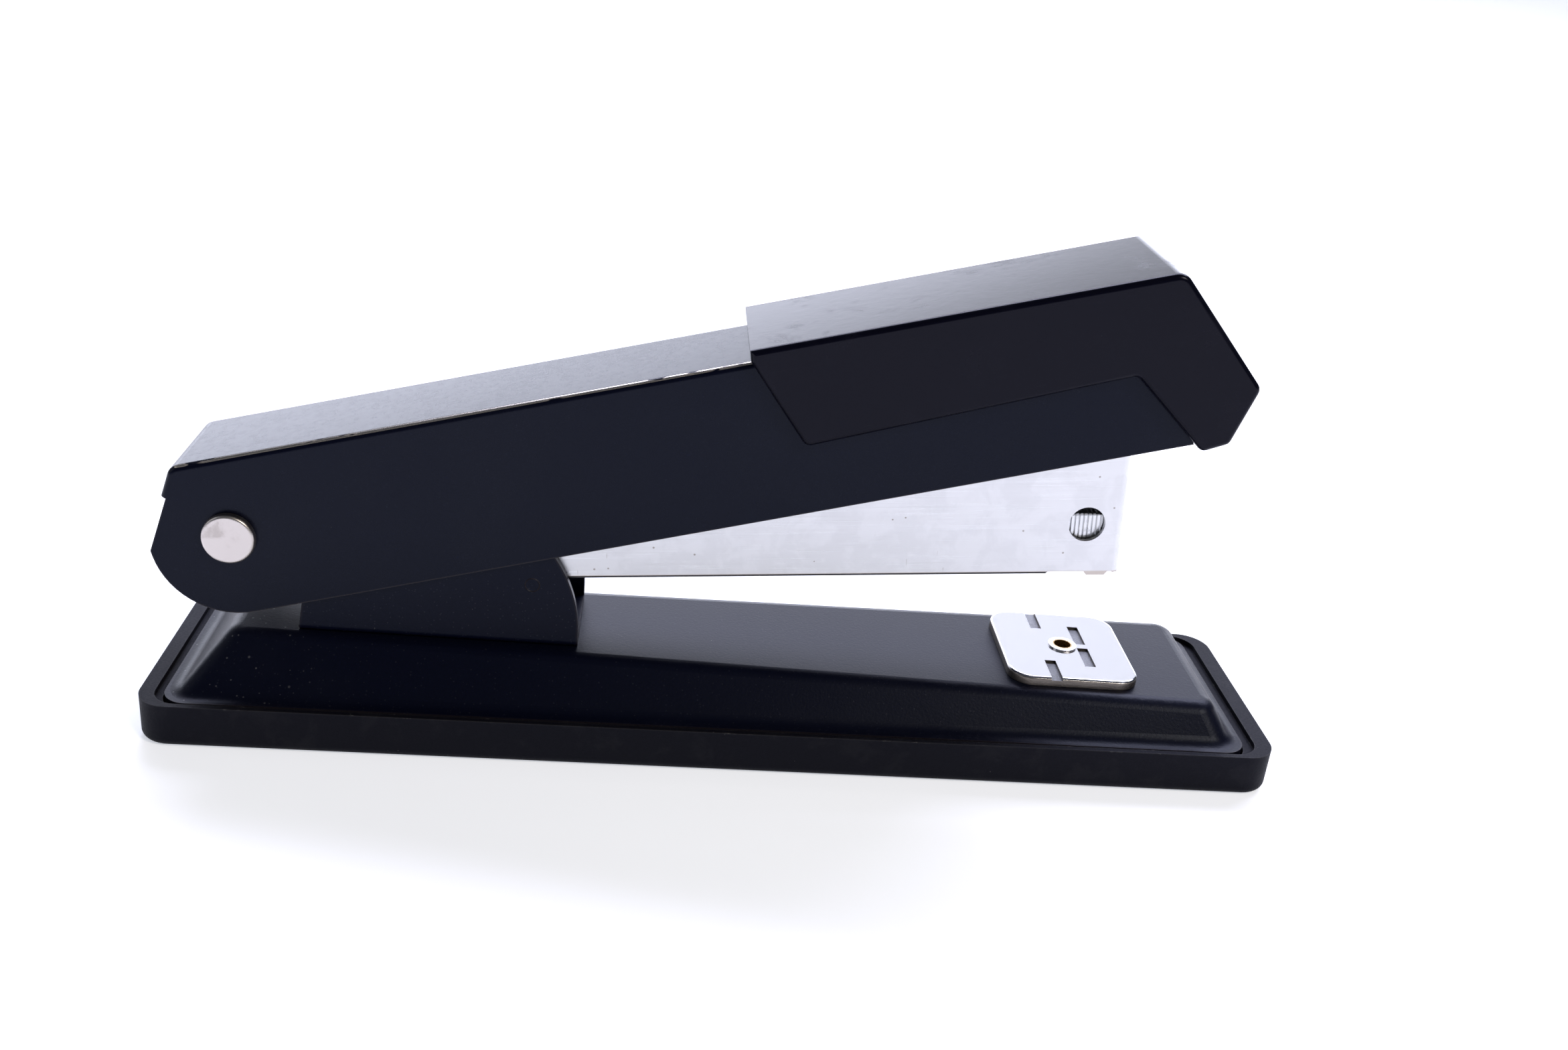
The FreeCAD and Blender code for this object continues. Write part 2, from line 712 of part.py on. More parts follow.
# ------------------------------------------------------------------ anvil

LEG_INSIDE = "(staple_crown / 2 - staple_wire_size)"


def make_anvil_plate():
    """The clinching plate, with two pairs of grooves that bend the legs in or out."""
    body = new_body("anvil_plate")
    plan = new_sketch(body, "plan", "XY_Plane", "anvil_clearance")
    draw_rectangle(plan, "0 - anvil_length / 2", "0 - anvil_width / 2",
                   "anvil_length / 2", "anvil_width / 2")
    pad(body, "slab", plan, "anvil_wall - anvil_clearance", centred=False)
    round_edges(body, "corners", "anvil_corner", stands_upright)
    top = size("anvil_wall")
    round_edges(body, "rim_round", "anvil_edge_round", lambda edge: lies_at(edge, top))
    clinch = new_sketch(body, "clinch", "XY_Plane", "anvil_wall")
    span = "(groove_start + groove_length)"
    for sign in ("", "0 - "):
        near, far = sorted((sign + "groove_start", sign + span), key=size)
        draw_rectangle(clinch, "groove_offset - groove_width / 2", near,
                       "groove_offset + groove_width / 2", far)
    for sign in ("", "0 - "):
        near, far = sorted((sign + LEG_INSIDE, sign + "anvil_width"), key=size)
        draw_rectangle(clinch, "0 - groove_offset - groove_width / 2", near,
                       "0 - groove_offset + groove_width / 2", far)
    pocket(body, "grooves", clinch, "groove_depth", centred=False)
    down_holes(body, "eyelet_hole", "anvil_wall", [("0", "0")], "eyelet_radius", "anvil_wall")
    keep(body, ANVIL_PLACE)


BUTTON_TOP = "(0 - %s + button_recess + button_wall)" % (PLATEAU % ANVIL_X)


def make_anvil_eyelet():
    """The hollow eyelet that joins the anvil to the push button below the plateau."""
    body = new_body("anvil_eyelet")
    sketch = new_sketch(body, "half_section", "XZ_Plane")
    draw_polygon(sketch, [("eyelet_bore", BUTTON_TOP), ("eyelet_radius", BUTTON_TOP),
                          ("eyelet_radius", "anvil_wall"), ("eyelet_lip_radius", "anvil_wall"),
                          ("eyelet_lip_radius", "anvil_wall + eyelet_lip_height"),
                          ("eyelet_bore", "anvil_wall + eyelet_lip_height")])
    turned = body.newObject("PartDesign::Revolution", "anvil_eyelet_turned")
    turned.Profile = sketch
    turned.ReferenceAxis = (sketch, ["V_Axis"])
    must_build(turned)
    keep(body, ANVIL_PLACE)


def make_anvil_button():
    """The push button under the base: a disc in the pad's round opening."""
    body = new_body("anvil_button")
    disc = new_sketch(body, "disc", "XY_Plane", BUTTON_TOP)
    draw_circle(disc, "0", "0", "button_radius")
    pad(body, "disc_pad", disc, "button_wall", centred=False, reverse=True)
    keep(body, ANVIL_PLACE)


def coil(radius, wire, pitch, turns, start, axis, first):
    """A round-wire coil that begins on the first side of its axis, at start, and runs along axis."""
    helix = Part.makeHelix(pitch, pitch * turns, radius)
    path = Part.Wire(helix.Edges)
    section = Part.Wire([Part.makeCircle(wire, Vector(radius, 0, 0), Vector(0, 1, 0))])
    solid = path.makePipeShell([section], True, True)
    turn = Rotation(first, axis.cross(first), axis, "ZXY")
    solid.transformShape(Placement(start, turn).toMatrix(), True)
    return solid


def make_anvil_spring():
    """The coil that pulls the anvil down, between the plateau's underside and the button."""
    wire = size("spring_wire")
    top = -size("plate_wall + end_gap") - wire
    bottom = size(BUTTON_TOP + " + end_gap") + wire
    turns = size("anvil_coil_turns")
    shape = coil(size("eyelet_radius + anvil_coil_gap"), wire, (top - bottom) / turns, turns,
                 Vector(0, 0, bottom), Vector(0, 0, 1), Vector(1, 0, 0))
    shape_node("anvil_spring", shape, ANVIL_PLACE)


# ------------------------------------------------------------------ magazine

FLOOR_TOP = "(magazine_bottom + magazine_wall)"
FRONT_WALL = "(magazine_front - magazine_wall)"
SLOT_REAR = "(%s - drive_slot)" % FRONT_WALL
CROWN_BOTTOM = "(crown_top - staple_wire_size)"
CORE_TOP = "(%s - crown_gap)" % CROWN_BOTTOM
CORE_SIDE = "(%s - leg_gap)" % LEG_INSIDE
STRIP_FRONT = "(%s - strip_gap)" % SLOT_REAR
STRIP_REAR = "(%s - staple_count * staple_wire_size)" % STRIP_FRONT
PUSHER_FRONT = "(%s - strip_gap)" % STRIP_REAR
WINDOW_X = "(magazine_front - window_setback)"
ROD_FRONT = "(magazine_front - rod_setback)"
RAIL_FRONT = "(magazine_front - rail_setback)"
RAIL_RIVETS = (("rear_rail_rivet", "0"), ("middle_rail_rivet", "0"),
               (RAIL_FRONT + " - front_rail_rivet_setback", "0"))


def make_magazine_channel():
    """The plated outer channel, open at the top, with the drive slot at its front."""
    body = new_body("magazine_channel")
    outline = [("magazine_rear", "magazine_bottom"), ("magazine_front", "magazine_bottom"),
               ("magazine_front", "magazine_front_top"), ("top_step_end", "magazine_front_top"),
               ("top_step_start", "magazine_rear_top"), ("magazine_rear", "magazine_rear_top")]
    side_pad(body, "block", outline, "2 * " + CHANNEL_SIDE)
    round_side_corners(body, "rear_rounds", "magazine_rear_round",
                       [("magazine_rear", "magazine_bottom"), ("magazine_rear", "magazine_rear_top")])
    front = size("magazine_front")
    round_edges(body, "front_bends", "magazine_front_round",
                lambda edge: stands_upright(edge) and abs(edge.Vertexes[0].X - front) < 0.01)
    tab = [(FRONT_WALL, "magazine_bottom - front_tab_drop"),
           ("magazine_front", "magazine_bottom - front_tab_drop + front_tab_slant"),
           ("magazine_front", FLOOR_TOP), (FRONT_WALL, FLOOR_TOP)]
    side_pad(body, "front_tab", tab, "2 * (%s - magazine_front_round)" % CHANNEL_SIDE)
    lug_rear = "(%s + lug_start)" % WINDOW_X
    lug_front = "(%s + lug_length)" % lug_rear
    lug_low = "magazine_bottom - lug_drop"
    lug = [(lug_rear, "magazine_bottom"), (lug_rear + " + lug_slant", lug_low),
           (lug_front + " - lug_slant", lug_low), (lug_front, "magazine_bottom"),
           (lug_front, FLOOR_TOP), (lug_rear, FLOOR_TOP)]
    side_pad(body, "front_lugs", lug, "2 * " + CHANNEL_SIDE)
    behind = "magazine_rear - cut_margin"
    above = "magazine_front_top + cut_margin"
    below = "magazine_bottom - cut_margin"
    side_pocket(body, "inside", [(behind, FLOOR_TOP), (FRONT_WALL, FLOOR_TOP),
                                 (FRONT_WALL, above), (behind, above)], "2 * " + INNER_SIDE)
    side_pocket(body, "drive_slot", [(SLOT_REAR, below), (FRONT_WALL, below),
                                     (FRONT_WALL, FLOOR_TOP + " + magazine_wall"),
                                     (SLOT_REAR, FLOOR_TOP + " + magazine_wall")], "2 * " + INNER_SIDE)
    side_pocket(body, "lug_gap", [(WINDOW_X, below), (SLOT_REAR, below),
                                  (SLOT_REAR, "magazine_bottom"), (WINDOW_X, "magazine_bottom")],
                "2 * " + INNER_SIDE)
    cross_hole(body, "window", WINDOW_X, "window_z", "window_radius", "4 * " + CHANNEL_SIDE)
    cross_hole(body, "pin_hole", "0", "0", "pin_radius + pin_clearance", "4 * " + CHANNEL_SIDE)
    down_holes(body, "rivet_holes", FLOOR_TOP + " + magazine_wall", RAIL_RIVETS, "rivet_radius",
               "3 * magazine_wall")
    keep(body, MAGAZINE_PLACE)


def make_staple_core():
    """The inner rail that the staples straddle, slotted along its top for the pusher's neck."""
    body = new_body("staple_core")
    core_front = SLOT_REAR + " - end_gap"
    side_pad(body, "block", [("core_rear", FLOOR_TOP), (core_front, FLOOR_TOP),
                             (core_front, CORE_TOP), ("core_rear", CORE_TOP)], "2 * " + CORE_SIDE)
    inside_top = CORE_TOP + " - core_wall"
    behind = "core_rear - cut_margin"
    below = FLOOR_TOP + " - cut_margin"
    beyond = core_front + " + cut_margin"
    side_pocket(body, "inside", [(behind, below), (beyond, below), (beyond, inside_top),
                                 (behind, inside_top)], "2 * (%s - core_wall)" % CORE_SIDE)
    side_pocket(body, "slot", [(behind, inside_top + " - core_wall"),
                               (ROD_FRONT, inside_top + " - core_wall"),
                               (ROD_FRONT, CORE_TOP + " + core_wall"),
                               (behind, CORE_TOP + " + core_wall")], "core_slot")
    keep(body, MAGAZINE_PLACE)


def make_lower_rail():
    """The dark strip under the channel's floor."""
    body = new_body("lower_rail")
    low = "magazine_bottom - rail_drop"
    side_pad(body, "strip", [("rail_rear", low), (RAIL_FRONT + " - rail_slant", low),
                             (RAIL_FRONT, "magazine_bottom"), ("rail_rear", "magazine_bottom")],
             "2 * (%s - rail_inset)" % CHANNEL_SIDE)
    down_holes(body, "rivet_holes", "magazine_bottom + rail_drop", RAIL_RIVETS, "rivet_radius",
               "3 * rail_drop")
    keep(body, MAGAZINE_PLACE)


def make_rail_rivets():
    """Rivets through the channel's floor and the lower rail."""
    low = size("magazine_bottom - rail_drop")
    high = size(FLOOR_TOP)
    stations = [(Vector(size(x), 0, low), Vector(size(x), 0, high)) for x, _ in RAIL_RIVETS]
    rivets("rail_rivets", Vector(0, 0, 1), stations, size("rivet_radius"),
           size("rivet_head_radius"), size("rivet_head_height") / 2,
           size("rivet_head_height") / 2, MAGAZINE_PLACE)


def make_end_plate():
    """The wall across the channel that holds the rod and stops the pusher's spring."""
    body = new_body("end_plate")
    rear = "core_rear - end_plate_wall"
    side_pad(body, "wall", [(rear, FLOOR_TOP), ("core_rear", FLOOR_TOP),
                            ("core_rear", "end_plate_top"), (rear, "end_plate_top")],
             "2 * " + INNER_SIDE)
    sketch = new_sketch(body, "rod_hole", "YZ_Plane", "core_rear + end_plate_wall")
    draw_circle(sketch, "0", "rod_height", "rod_radius")
    pocket(body, "rod_hole_cut", sketch, "4 * end_plate_wall", centred=False)
    keep(body, MAGAZINE_PLACE)


def make_spring_rod():
    """The rod that the pusher and its spring slide on."""
    rear = size("core_rear - 2 * end_plate_wall")
    rod = round_bar("rod", size("rod_radius"), Vector(rear, 0, size("rod_height")),
                    Vector(size(ROD_FRONT), 0, size("rod_height")))
    shape_node("spring_rod", rod, MAGAZINE_PLACE)


def make_staple_strip():
    """The glued strip of staples, straddling the core."""
    body = new_body("staple_strip")
    leg_end = "crown_top - staple_leg"
    side_pad(body, "block", [(STRIP_REAR, leg_end), (STRIP_FRONT, leg_end),
                             (STRIP_FRONT, "crown_top"), (STRIP_REAR, "crown_top")], "staple_crown")
    behind = STRIP_REAR + " - cut_margin"
    beyond = STRIP_FRONT + " + cut_margin"
    below = leg_end + " - cut_margin"
    side_pocket(body, "inside", [(behind, below), (beyond, below), (beyond, CROWN_BOTTOM),
                                 (behind, CROWN_BOTTOM)], "2 * " + LEG_INSIDE)
    keep(body, MAGAZINE_PLACE)


def make_pusher():
    """The follower: a saddle over the core, joined through its slot to a block on the rod."""
    body = new_body("pusher")
    sketch = new_sketch(body, "section", "YZ_Plane", PUSHER_FRONT)
    block_side = "(%s - core_wall - pusher_gap)" % CORE_SIDE
    block_top = CORE_TOP + " - core_wall - pusher_fit"
    block_low = "rod_height - push_coil_radius - pusher_fit"
    neck = "(core_slot / 2 - pusher_fit)"
    saddle = CORE_TOP + " + saddle_gap"
    skirt_in = "(%s + pusher_fit)" % CORE_SIDE
    skirt_out = "(%s - pusher_gap)" % INNER_SIDE
    skirt_low = "crown_top - staple_leg"
    half = [(block_side, block_low), (block_side, block_top), (neck, block_top), (neck, saddle),
            (skirt_in, saddle), (skirt_in, skirt_low), (skirt_out, skirt_low),
            (skirt_out, "pusher_top")]
    mirrored = [("0 - " + across, height) for across, height in reversed(half)]
    draw_polygon(sketch, half + mirrored)
    pad(body, "block", sketch, "pusher_length", centred=False, reverse=True)
    bore = new_sketch(body, "bore", "YZ_Plane", PUSHER_FRONT + " + cut_margin")
    draw_circle(bore, "0", "rod_height", "rod_radius + pin_clearance")
    pocket(body, "bore_cut", bore, "pusher_length + 2 * cut_margin", centred=False)
    keep(body, MAGAZINE_PLACE)


def make_pusher_spring():
    """The long coil round the rod that pushes the strip forwards."""
    wire = size("spring_wire")
    rear = size("core_rear + end_gap") + wire
    front = size(PUSHER_FRONT + " - pusher_length - end_gap") - wire
    turns = size("push_coil_turns")
    shape = coil(size("push_coil_radius"), wire, (front - rear) / turns, turns,
                 Vector(rear, 0, size("rod_height")), Vector(1, 0, 0), Vector(0, 0, 1))
    shape_node("pusher_spring", shape, MAGAZINE_PLACE)


def make_handle_spring():
    """The torsion spring round the pin: one leg on the channel's floor, one under the handle."""
    radius = size("lift_coil_radius")
    wire = size("lift_coil_wire")
    pitch = size("lift_coil_pitch")
    turns = size("lift_coil_turns")
    half = pitch * turns / 2
    turned = coil(radius, wire, pitch, turns, Vector(0, -half, 0), Vector(0, 1, 0), Vector(0, 0, 1))
    low = Vector(0, half, -radius)
    rise = math.radians(size("handle_tilt") - size("magazine_tilt"))
    reach = size("lift_leg_reach")
    drop = size("lift_leg_drop")
    under = size("handle_top - handle_wall - end_gap") - wire
    tip = Vector(reach, -half, reach * math.tan(rise) + under / math.cos(rise))
    start = Vector(0, -half, radius)
    legs = [round_bar("upper", wire, start, tip),
            round_bar("lower", wire, low, Vector(size("core_rear") - drop, half, low.z - drop))]
    # the wire is a little swollen where each leg leaves the coil
    knuckle = wire * size("knuckle_swell")
    knuckles = [Part.makeSphere(knuckle, start), Part.makeSphere(knuckle, low)]
    shape_node("handle_spring", turned.fuse(legs + knuckles), MAGAZINE_PLACE)


# ------------------------------------------------------------------ handle

CAP_TOP = "(handle_top + cap_rise)"
CAP_REAR = "(%s - cap_reach)" % HANDLE_FRONT
FRONT_SCREW_X = HANDLE_FRONT + " - front_screw_reach"
CAP_SCREWS = ((CAP_REAR + " + rear_screw_setback", "0"), (FRONT_SCREW_X, "0 - screw_spread"),
              (FRONT_SCREW_X, "screw_spread"))
BLADE_TIP_X = "(magazine_front - blade_setback)"
HOLDER_REAR = "(%s - holder_reach)" % BLADE_TIP_X
HOLDER_RIVETS = ((HOLDER_REAR + " + holder_rivet_setback", "0"),
                 (HOLDER_REAR + " + holder_rivet_setback + holder_rivet_spacing", "0"))
HANDLE_INSIDE_TOP = "(handle_top - handle_wall)"
# the rear tab slopes down from the top, and the side walls end under its inner face
TAB_RUN = "(tab_top_x - tab_low_x)"
TAB_LOW_Z = "(handle_top - tab_drop)"
TAB_LENGTH = "sqrt(%s ^ 2 + tab_drop ^ 2)" % TAB_RUN
TAB_INNER_X = "(tab_low_x + handle_wall * tab_drop / %s)" % TAB_LENGTH
TAB_INNER_Z = "(%s - handle_wall * %s / %s)" % (TAB_LOW_Z, TAB_RUN, TAB_LENGTH)
TAB_INNER_TOP_X = "(%s + (%s - %s) * %s / tab_drop)" % (
    TAB_INNER_X, HANDLE_INSIDE_TOP, TAB_INNER_Z, TAB_RUN)


def make_handle_shell():
    """The long pressed handle: an inverted channel with round rear lobes and a rear tab."""
    body = new_body("handle_shell")
    outline = [("handle_rear", "handle_bottom"), (HANDLE_FRONT, "handle_bottom"),
               (HANDLE_FRONT + " - front_slant", "handle_top"), ("tab_top_x", "handle_top"),
               ("tab_low_x", TAB_LOW_Z), (TAB_INNER_X, TAB_INNER_Z), ("handle_rear", "0")]
    side_pad(body, "block", outline, "2 * " + HANDLE_SIDE)
    round_side_corners(body, "lobe", "lobe_round", [("handle_rear", "handle_bottom")])
    round_side_corners(body, "tab_bend", "tab_round", [("tab_top_x", "handle_top")])
    top = size("handle_top")
    side = size(HANDLE_SIDE)
    round_edges(body, "long_bends", "handle_edge_round",
                lambda edge: lies_at(edge, top)
                and abs(edge.Vertexes[0].X - edge.Vertexes[-1].X) > 2 * side
                and abs(abs(edge.CenterOfMass.y) - side) < 0.01)
    behind = "handle_rear - cut_margin"
    below = "handle_bottom - cut_margin"
    beyond = HANDLE_FRONT + " + cut_margin"
    inside = [(behind, below), (beyond, below), (beyond, HANDLE_INSIDE_TOP),
              (TAB_INNER_TOP_X, HANDLE_INSIDE_TOP), (TAB_INNER_X, TAB_INNER_Z),
              (behind, TAB_INNER_Z)]
    side_pocket(body, "inside", inside, "2 * " + HANDLE_INSIDE)
    cross_hole(body, "pin_hole", "0", "0", "pin_radius + pin_clearance", "4 * " + HANDLE_SIDE)
    down_holes(body, "screw_holes", "handle_top + 1", CAP_SCREWS, "screw_radius + pin_clearance",
               "4 * handle_wall")
    down_holes(body, "rivet_holes", "handle_top + 1", HOLDER_RIVETS, "rivet_radius", "4 * handle_wall")
    keep(body, HANDLE_PLACE)


def cap_point(name):
    """A corner of the cap's side outline, from its reach behind the handle's front and its height."""
    return "(%s - %s_reach)" % (HANDLE_FRONT, name), "%s_z" % name


def make_handle_cap():
    """The thick front cover, with its undercut nose and a rib for each screw."""
    body = new_body("handle_cap")
    lip = ("(%s - lip_reach)" % HANDLE_FRONT, "(%s - lip_drop)" % CAP_TOP)
    brow = ("(%s - brow_reach)" % HANDLE_FRONT, CAP_TOP)
    waist, heel, arch, toe, tip, nose = map(cap_point, ("waist", "heel", "arch", "toe", "tip", "nose"))
    side_pad(body, "block", [(CAP_REAR, CAP_TOP), lip, waist, heel, arch, toe, tip, nose, brow],
             "2 * " + CAP_SIDE)
    round_side_corners(body, "heel", "heel_round", [heel, arch])
    round_side_corners(body, "leg", "toe_round", [toe, tip])
    round_side_corners(body, "nose", "nose_round", [nose])
    round_side_corners(body, "brow", "brow_round", [brow])
    side = size(CAP_SIDE)
    round_edges(body, "side_rounds", "cap_edge_round",
                lambda edge: abs(abs(edge.CenterOfMass.y) - side) < 0.01)
    inside_top = "(%s - cap_wall)" % CAP_TOP
    behind = "(%s - cut_margin)" % lip[0]
    below = "(%s - cut_margin)" % toe[1]
    inner_tip, inner_nose = ["(%s - cap_front_wall)" % point[0] for point in (tip, nose)]
    inner_brow = "(%s - cap_front_wall + cap_wall * (%s - %s) / (%s - %s))" % (
        brow[0], nose[0], brow[0], CAP_TOP, nose[1])
    side_pocket(body, "inside", [(behind, below), (inner_tip, below), (inner_tip, tip[1]),
                                 (inner_nose, nose[1]), (inner_brow, inside_top),
                                 (behind, inside_top)], "2 * " + CAP_INSIDE)
    bosses = new_sketch(body, "bosses", "XY_Plane", "handle_top")
    for x, y in CAP_SCREWS:
        draw_circle(bosses, x, y, "boss_radius")
    pad(body, "boss_pads", bosses, inside_top + " - handle_top + boss_root", centred=False)
    down_holes(body, "screw_holes", "handle_top + screw_depth", CAP_SCREWS, "screw_radius",
               "2 * screw_depth")
    keep(body, HANDLE_PLACE)


def make_cap_screws():
    """Screws from inside the handle up into the cap."""
    solids = []
    head_top = size(HANDLE_INSIDE_TOP)
    for x, y in CAP_SCREWS:
        seat = Vector(size(x), size(y), head_top)
        shank = Part.makeCylinder(size("screw_radius"), size("handle_wall + screw_depth"), seat)
        head = Part.makeCylinder(size("screw_head_radius"), size("screw_head_height"),
                                 seat - Vector(0, 0, size("screw_head_height")))
        solids.append(shank.fuse(head).removeSplitter())
    shape_node("cap_screws", Part.makeCompound(solids), HANDLE_PLACE)


def blade_line(height, offset):
    """A point of the blade's leaning plane, offset forwards from its middle, as expressions."""
    lean = "tan(blade_lean * 1 deg)"
    return ("%s + (%s - blade_tip_z) * %s + (%s)" % (BLADE_TIP_X, height, lean, offset), height)


BLADE_RIVETS_Y = ("0 - blade_rivet_spread", "blade_rivet_spread")


def blade_rivet_holes(body):
    """Two small holes square through the blade and the flange behind it."""
    sketch = new_sketch(body, "blade_rivets", "YZ_Plane", "0")
    x, z = blade_line("blade_rivet_z", "0")
    bind(sketch, "AttachmentOffset.Base.z", x)
    bind(sketch, "AttachmentOffset.Base.y", z)
    bind(sketch, "AttachmentOffset.Rotation.Axis.x", "1")
    bind(sketch, "AttachmentOffset.Rotation.Axis.z", "0")
    bind(sketch, "AttachmentOffset.Rotation.Angle", "blade_lean")
    for y in BLADE_RIVETS_Y:
        draw_circle(sketch, y, "0", "rivet_radius / 2")
    pocket(body, "blade_rivets_cut", sketch, "8 * blade_wall")


def make_driver_blade():
    """The blade that drives one staple down the front slot."""
    body = new_body("driver_blade")
    top = "(%s - blade_top_gap)" % HANDLE_INSIDE_TOP
    rear = "0 - blade_wall / 2"
    front = "blade_wall / 2"
    side_pad(body, "blade", [blade_line("blade_tip_z", rear), blade_line("blade_tip_z", front),
                             blade_line(top, front), blade_line(top, rear)],
             "staple_crown - 2 * blade_play")
    blade_rivet_holes(body)
    keep(body, HANDLE_PLACE)


def make_blade_holder():
    """The angle under the handle's top that carries the blade."""
    body = new_body("blade_holder")
    under = "(%s - holder_wall)" % HANDLE_INSIDE_TOP
    behind = "0 - blade_wall / 2 - holder_wall"
    touching = "0 - blade_wall / 2"
    side_pad(body, "angle", [(HOLDER_REAR, under), blade_line(under, behind),
                             blade_line("holder_flange_bottom", behind),
                             blade_line("holder_flange_bottom", touching),
                             blade_line(HANDLE_INSIDE_TOP, touching),
                             (HOLDER_REAR, HANDLE_INSIDE_TOP)], "2 * holder_half_width")
    down_holes(body, "rivet_holes", "handle_top", HOLDER_RIVETS, "rivet_radius", "4 * holder_wall")
    blade_rivet_holes(body)
    keep(body, HANDLE_PLACE)


def make_holder_rivets():
    """Rivets through the handle's top and the holder."""
    low = size(HANDLE_INSIDE_TOP + " - holder_wall")
    high = size("handle_top")
    stations = [(Vector(size(x), 0, low), Vector(size(x), 0, high)) for x, _ in HOLDER_RIVETS]
    rivets("holder_rivets", Vector(0, 0, 1), stations, size("rivet_radius"),
           size("rivet_head_radius"), size("rivet_head_height"), size("low_head_height"),
           HANDLE_PLACE)


def make_blade_rivets():
    """Small rivets that hold the blade to the holder's flange."""
    lean = math.radians(size("blade_lean"))
    forward = Vector(math.cos(lean), 0, -math.sin(lean))
    x, z = (size(value) for value in blade_line("blade_rivet_z", "0"))
    half = size("blade_wall") / 2
    stations = [(Vector(x, y, z) - forward * (half + size("holder_wall")),
                 Vector(x, y, z) + forward * half) for y in map(size, BLADE_RIVETS_Y)]
    head = size("small_head_height")
    rivets("blade_rivets", forward, stations, size("rivet_radius") / 2, size("rivet_radius"), head,
           head, HANDLE_PLACE)


# ------------------------------------------------------------------ build, check, write

MAKERS = [
    make_base_pad, make_base_plate, make_pivot_bracket, make_bracket_rivets, make_pivot_pin,
    make_lift_spring, make_anvil_spring, make_anvil_button, make_anvil_plate, make_anvil_eyelet,
    make_magazine_channel, make_staple_core, make_lower_rail, make_rail_rivets, make_end_plate,
    make_spring_rod, make_staple_strip, make_handle_spring, make_pusher, make_pusher_spring,
    make_handle_shell, make_handle_cap, make_cap_screws, make_driver_blade, make_blade_holder,
    make_holder_rivets, make_blade_rivets,
]

for make in MAKERS:
    make()
doc.recompute()

for item in doc.Objects:
    if "Invalid" in item.State or "Error" in item.State:
        raise RuntimeError("%s did not build: %s" % (item.Name, item.State))
for node in nodes:
    if node.Shape.isNull() or not node.Shape.isValid():
        raise RuntimeError("%s has no valid shape" % node.Label)

os.makedirs("parts", exist_ok=True)
for node in nodes:
    node.Shape.exportStep(os.path.join("parts", node.Label + ".step"))
    box = node.Shape.BoundBox
    print("%-18s solids %d  volume %9.1f  x %7.2f %7.2f  y %6.2f %6.2f  z %6.2f %6.2f" % (
        node.Label, len(node.Shape.Solids), node.Shape.Volume,
        box.XMin, box.XMax, box.YMin, box.YMax, box.ZMin, box.ZMax))
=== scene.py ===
# %% [markdown]
# # A full-strip desk stapler, dressed for the studio
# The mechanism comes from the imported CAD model: every plate, rivet and spring is already in place,
# on the body that carries it. This script gives those parts their finishes, adds the small pieces
# that CAD leaves plain, and sets up a white studio table. Lengths are in metres, +Z is up and the
# staples come out at the +X end.

# %% Load the CAD frame
import json
import math

import bmesh
import bpy
from mathutils import Matrix, Vector


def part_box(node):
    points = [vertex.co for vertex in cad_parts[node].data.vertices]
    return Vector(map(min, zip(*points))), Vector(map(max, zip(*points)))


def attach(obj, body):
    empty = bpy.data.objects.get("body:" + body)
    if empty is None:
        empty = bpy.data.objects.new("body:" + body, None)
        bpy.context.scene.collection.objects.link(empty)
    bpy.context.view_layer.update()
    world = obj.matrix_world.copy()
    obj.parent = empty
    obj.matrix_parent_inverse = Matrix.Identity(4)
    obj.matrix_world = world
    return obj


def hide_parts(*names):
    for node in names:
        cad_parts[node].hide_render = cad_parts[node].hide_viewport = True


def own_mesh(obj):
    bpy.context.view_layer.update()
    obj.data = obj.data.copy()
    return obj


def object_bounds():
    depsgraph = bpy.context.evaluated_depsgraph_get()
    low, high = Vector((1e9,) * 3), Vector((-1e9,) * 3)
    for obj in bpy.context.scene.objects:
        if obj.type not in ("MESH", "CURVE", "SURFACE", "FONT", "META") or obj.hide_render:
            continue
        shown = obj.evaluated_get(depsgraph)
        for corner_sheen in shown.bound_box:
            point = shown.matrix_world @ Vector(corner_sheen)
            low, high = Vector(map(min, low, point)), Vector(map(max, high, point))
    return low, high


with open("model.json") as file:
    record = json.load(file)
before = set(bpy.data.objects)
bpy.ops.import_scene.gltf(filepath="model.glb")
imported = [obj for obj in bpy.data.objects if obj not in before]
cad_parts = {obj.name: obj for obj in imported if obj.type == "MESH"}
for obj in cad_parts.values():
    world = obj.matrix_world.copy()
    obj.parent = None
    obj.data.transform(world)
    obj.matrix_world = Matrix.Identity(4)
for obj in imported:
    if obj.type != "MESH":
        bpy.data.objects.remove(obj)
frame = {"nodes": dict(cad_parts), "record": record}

MM = 0.001
cad_low, cad_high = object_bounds()
nodes = frame["nodes"]
size_in_mm = [round(x / MM, 1) for x in cad_high - cad_low]
print("CAD nodes:", len(nodes), "size in mm:", size_in_mm)

# %% [markdown]
# The magazine and the handle are straight pieces that rest tilted about one pin. A finish such as
# brushing follows the piece and not the table, so each finish is laid out in its piece's own
# frame: origin on the pin, X along the piece. The anvil has such a frame too, at its foot. The
# pin's centre is the middle of its box, and the tilts are those of the rest position.

# %% Frames of the four groups
pin_low, pin_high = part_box("pivot_pin")
PIN = (pin_low + pin_high) / 2
anvil_low, anvil_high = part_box("anvil_plate")
ANVIL_WALL = 1.6
ANVIL_FOOT = (anvil_low + anvil_high) / 2 - Vector((0.0, 0.0, ANVIL_WALL / 2 * MM))
TILT_DEGREES = {"base": 0.0, "magazine": 4.2, "handle": 14.8, "anvil": -0.76}
TILT = {group: math.radians(angle) for group, angle in TILT_DEGREES.items()}
ORIGIN = {"base": Vector((0.0, 0.0, 0.0)), "magazine": PIN, "handle": PIN, "anvil": ANVIL_FOOT}
print("pin centre in mm:", [round(x / MM, 2) for x in PIN])


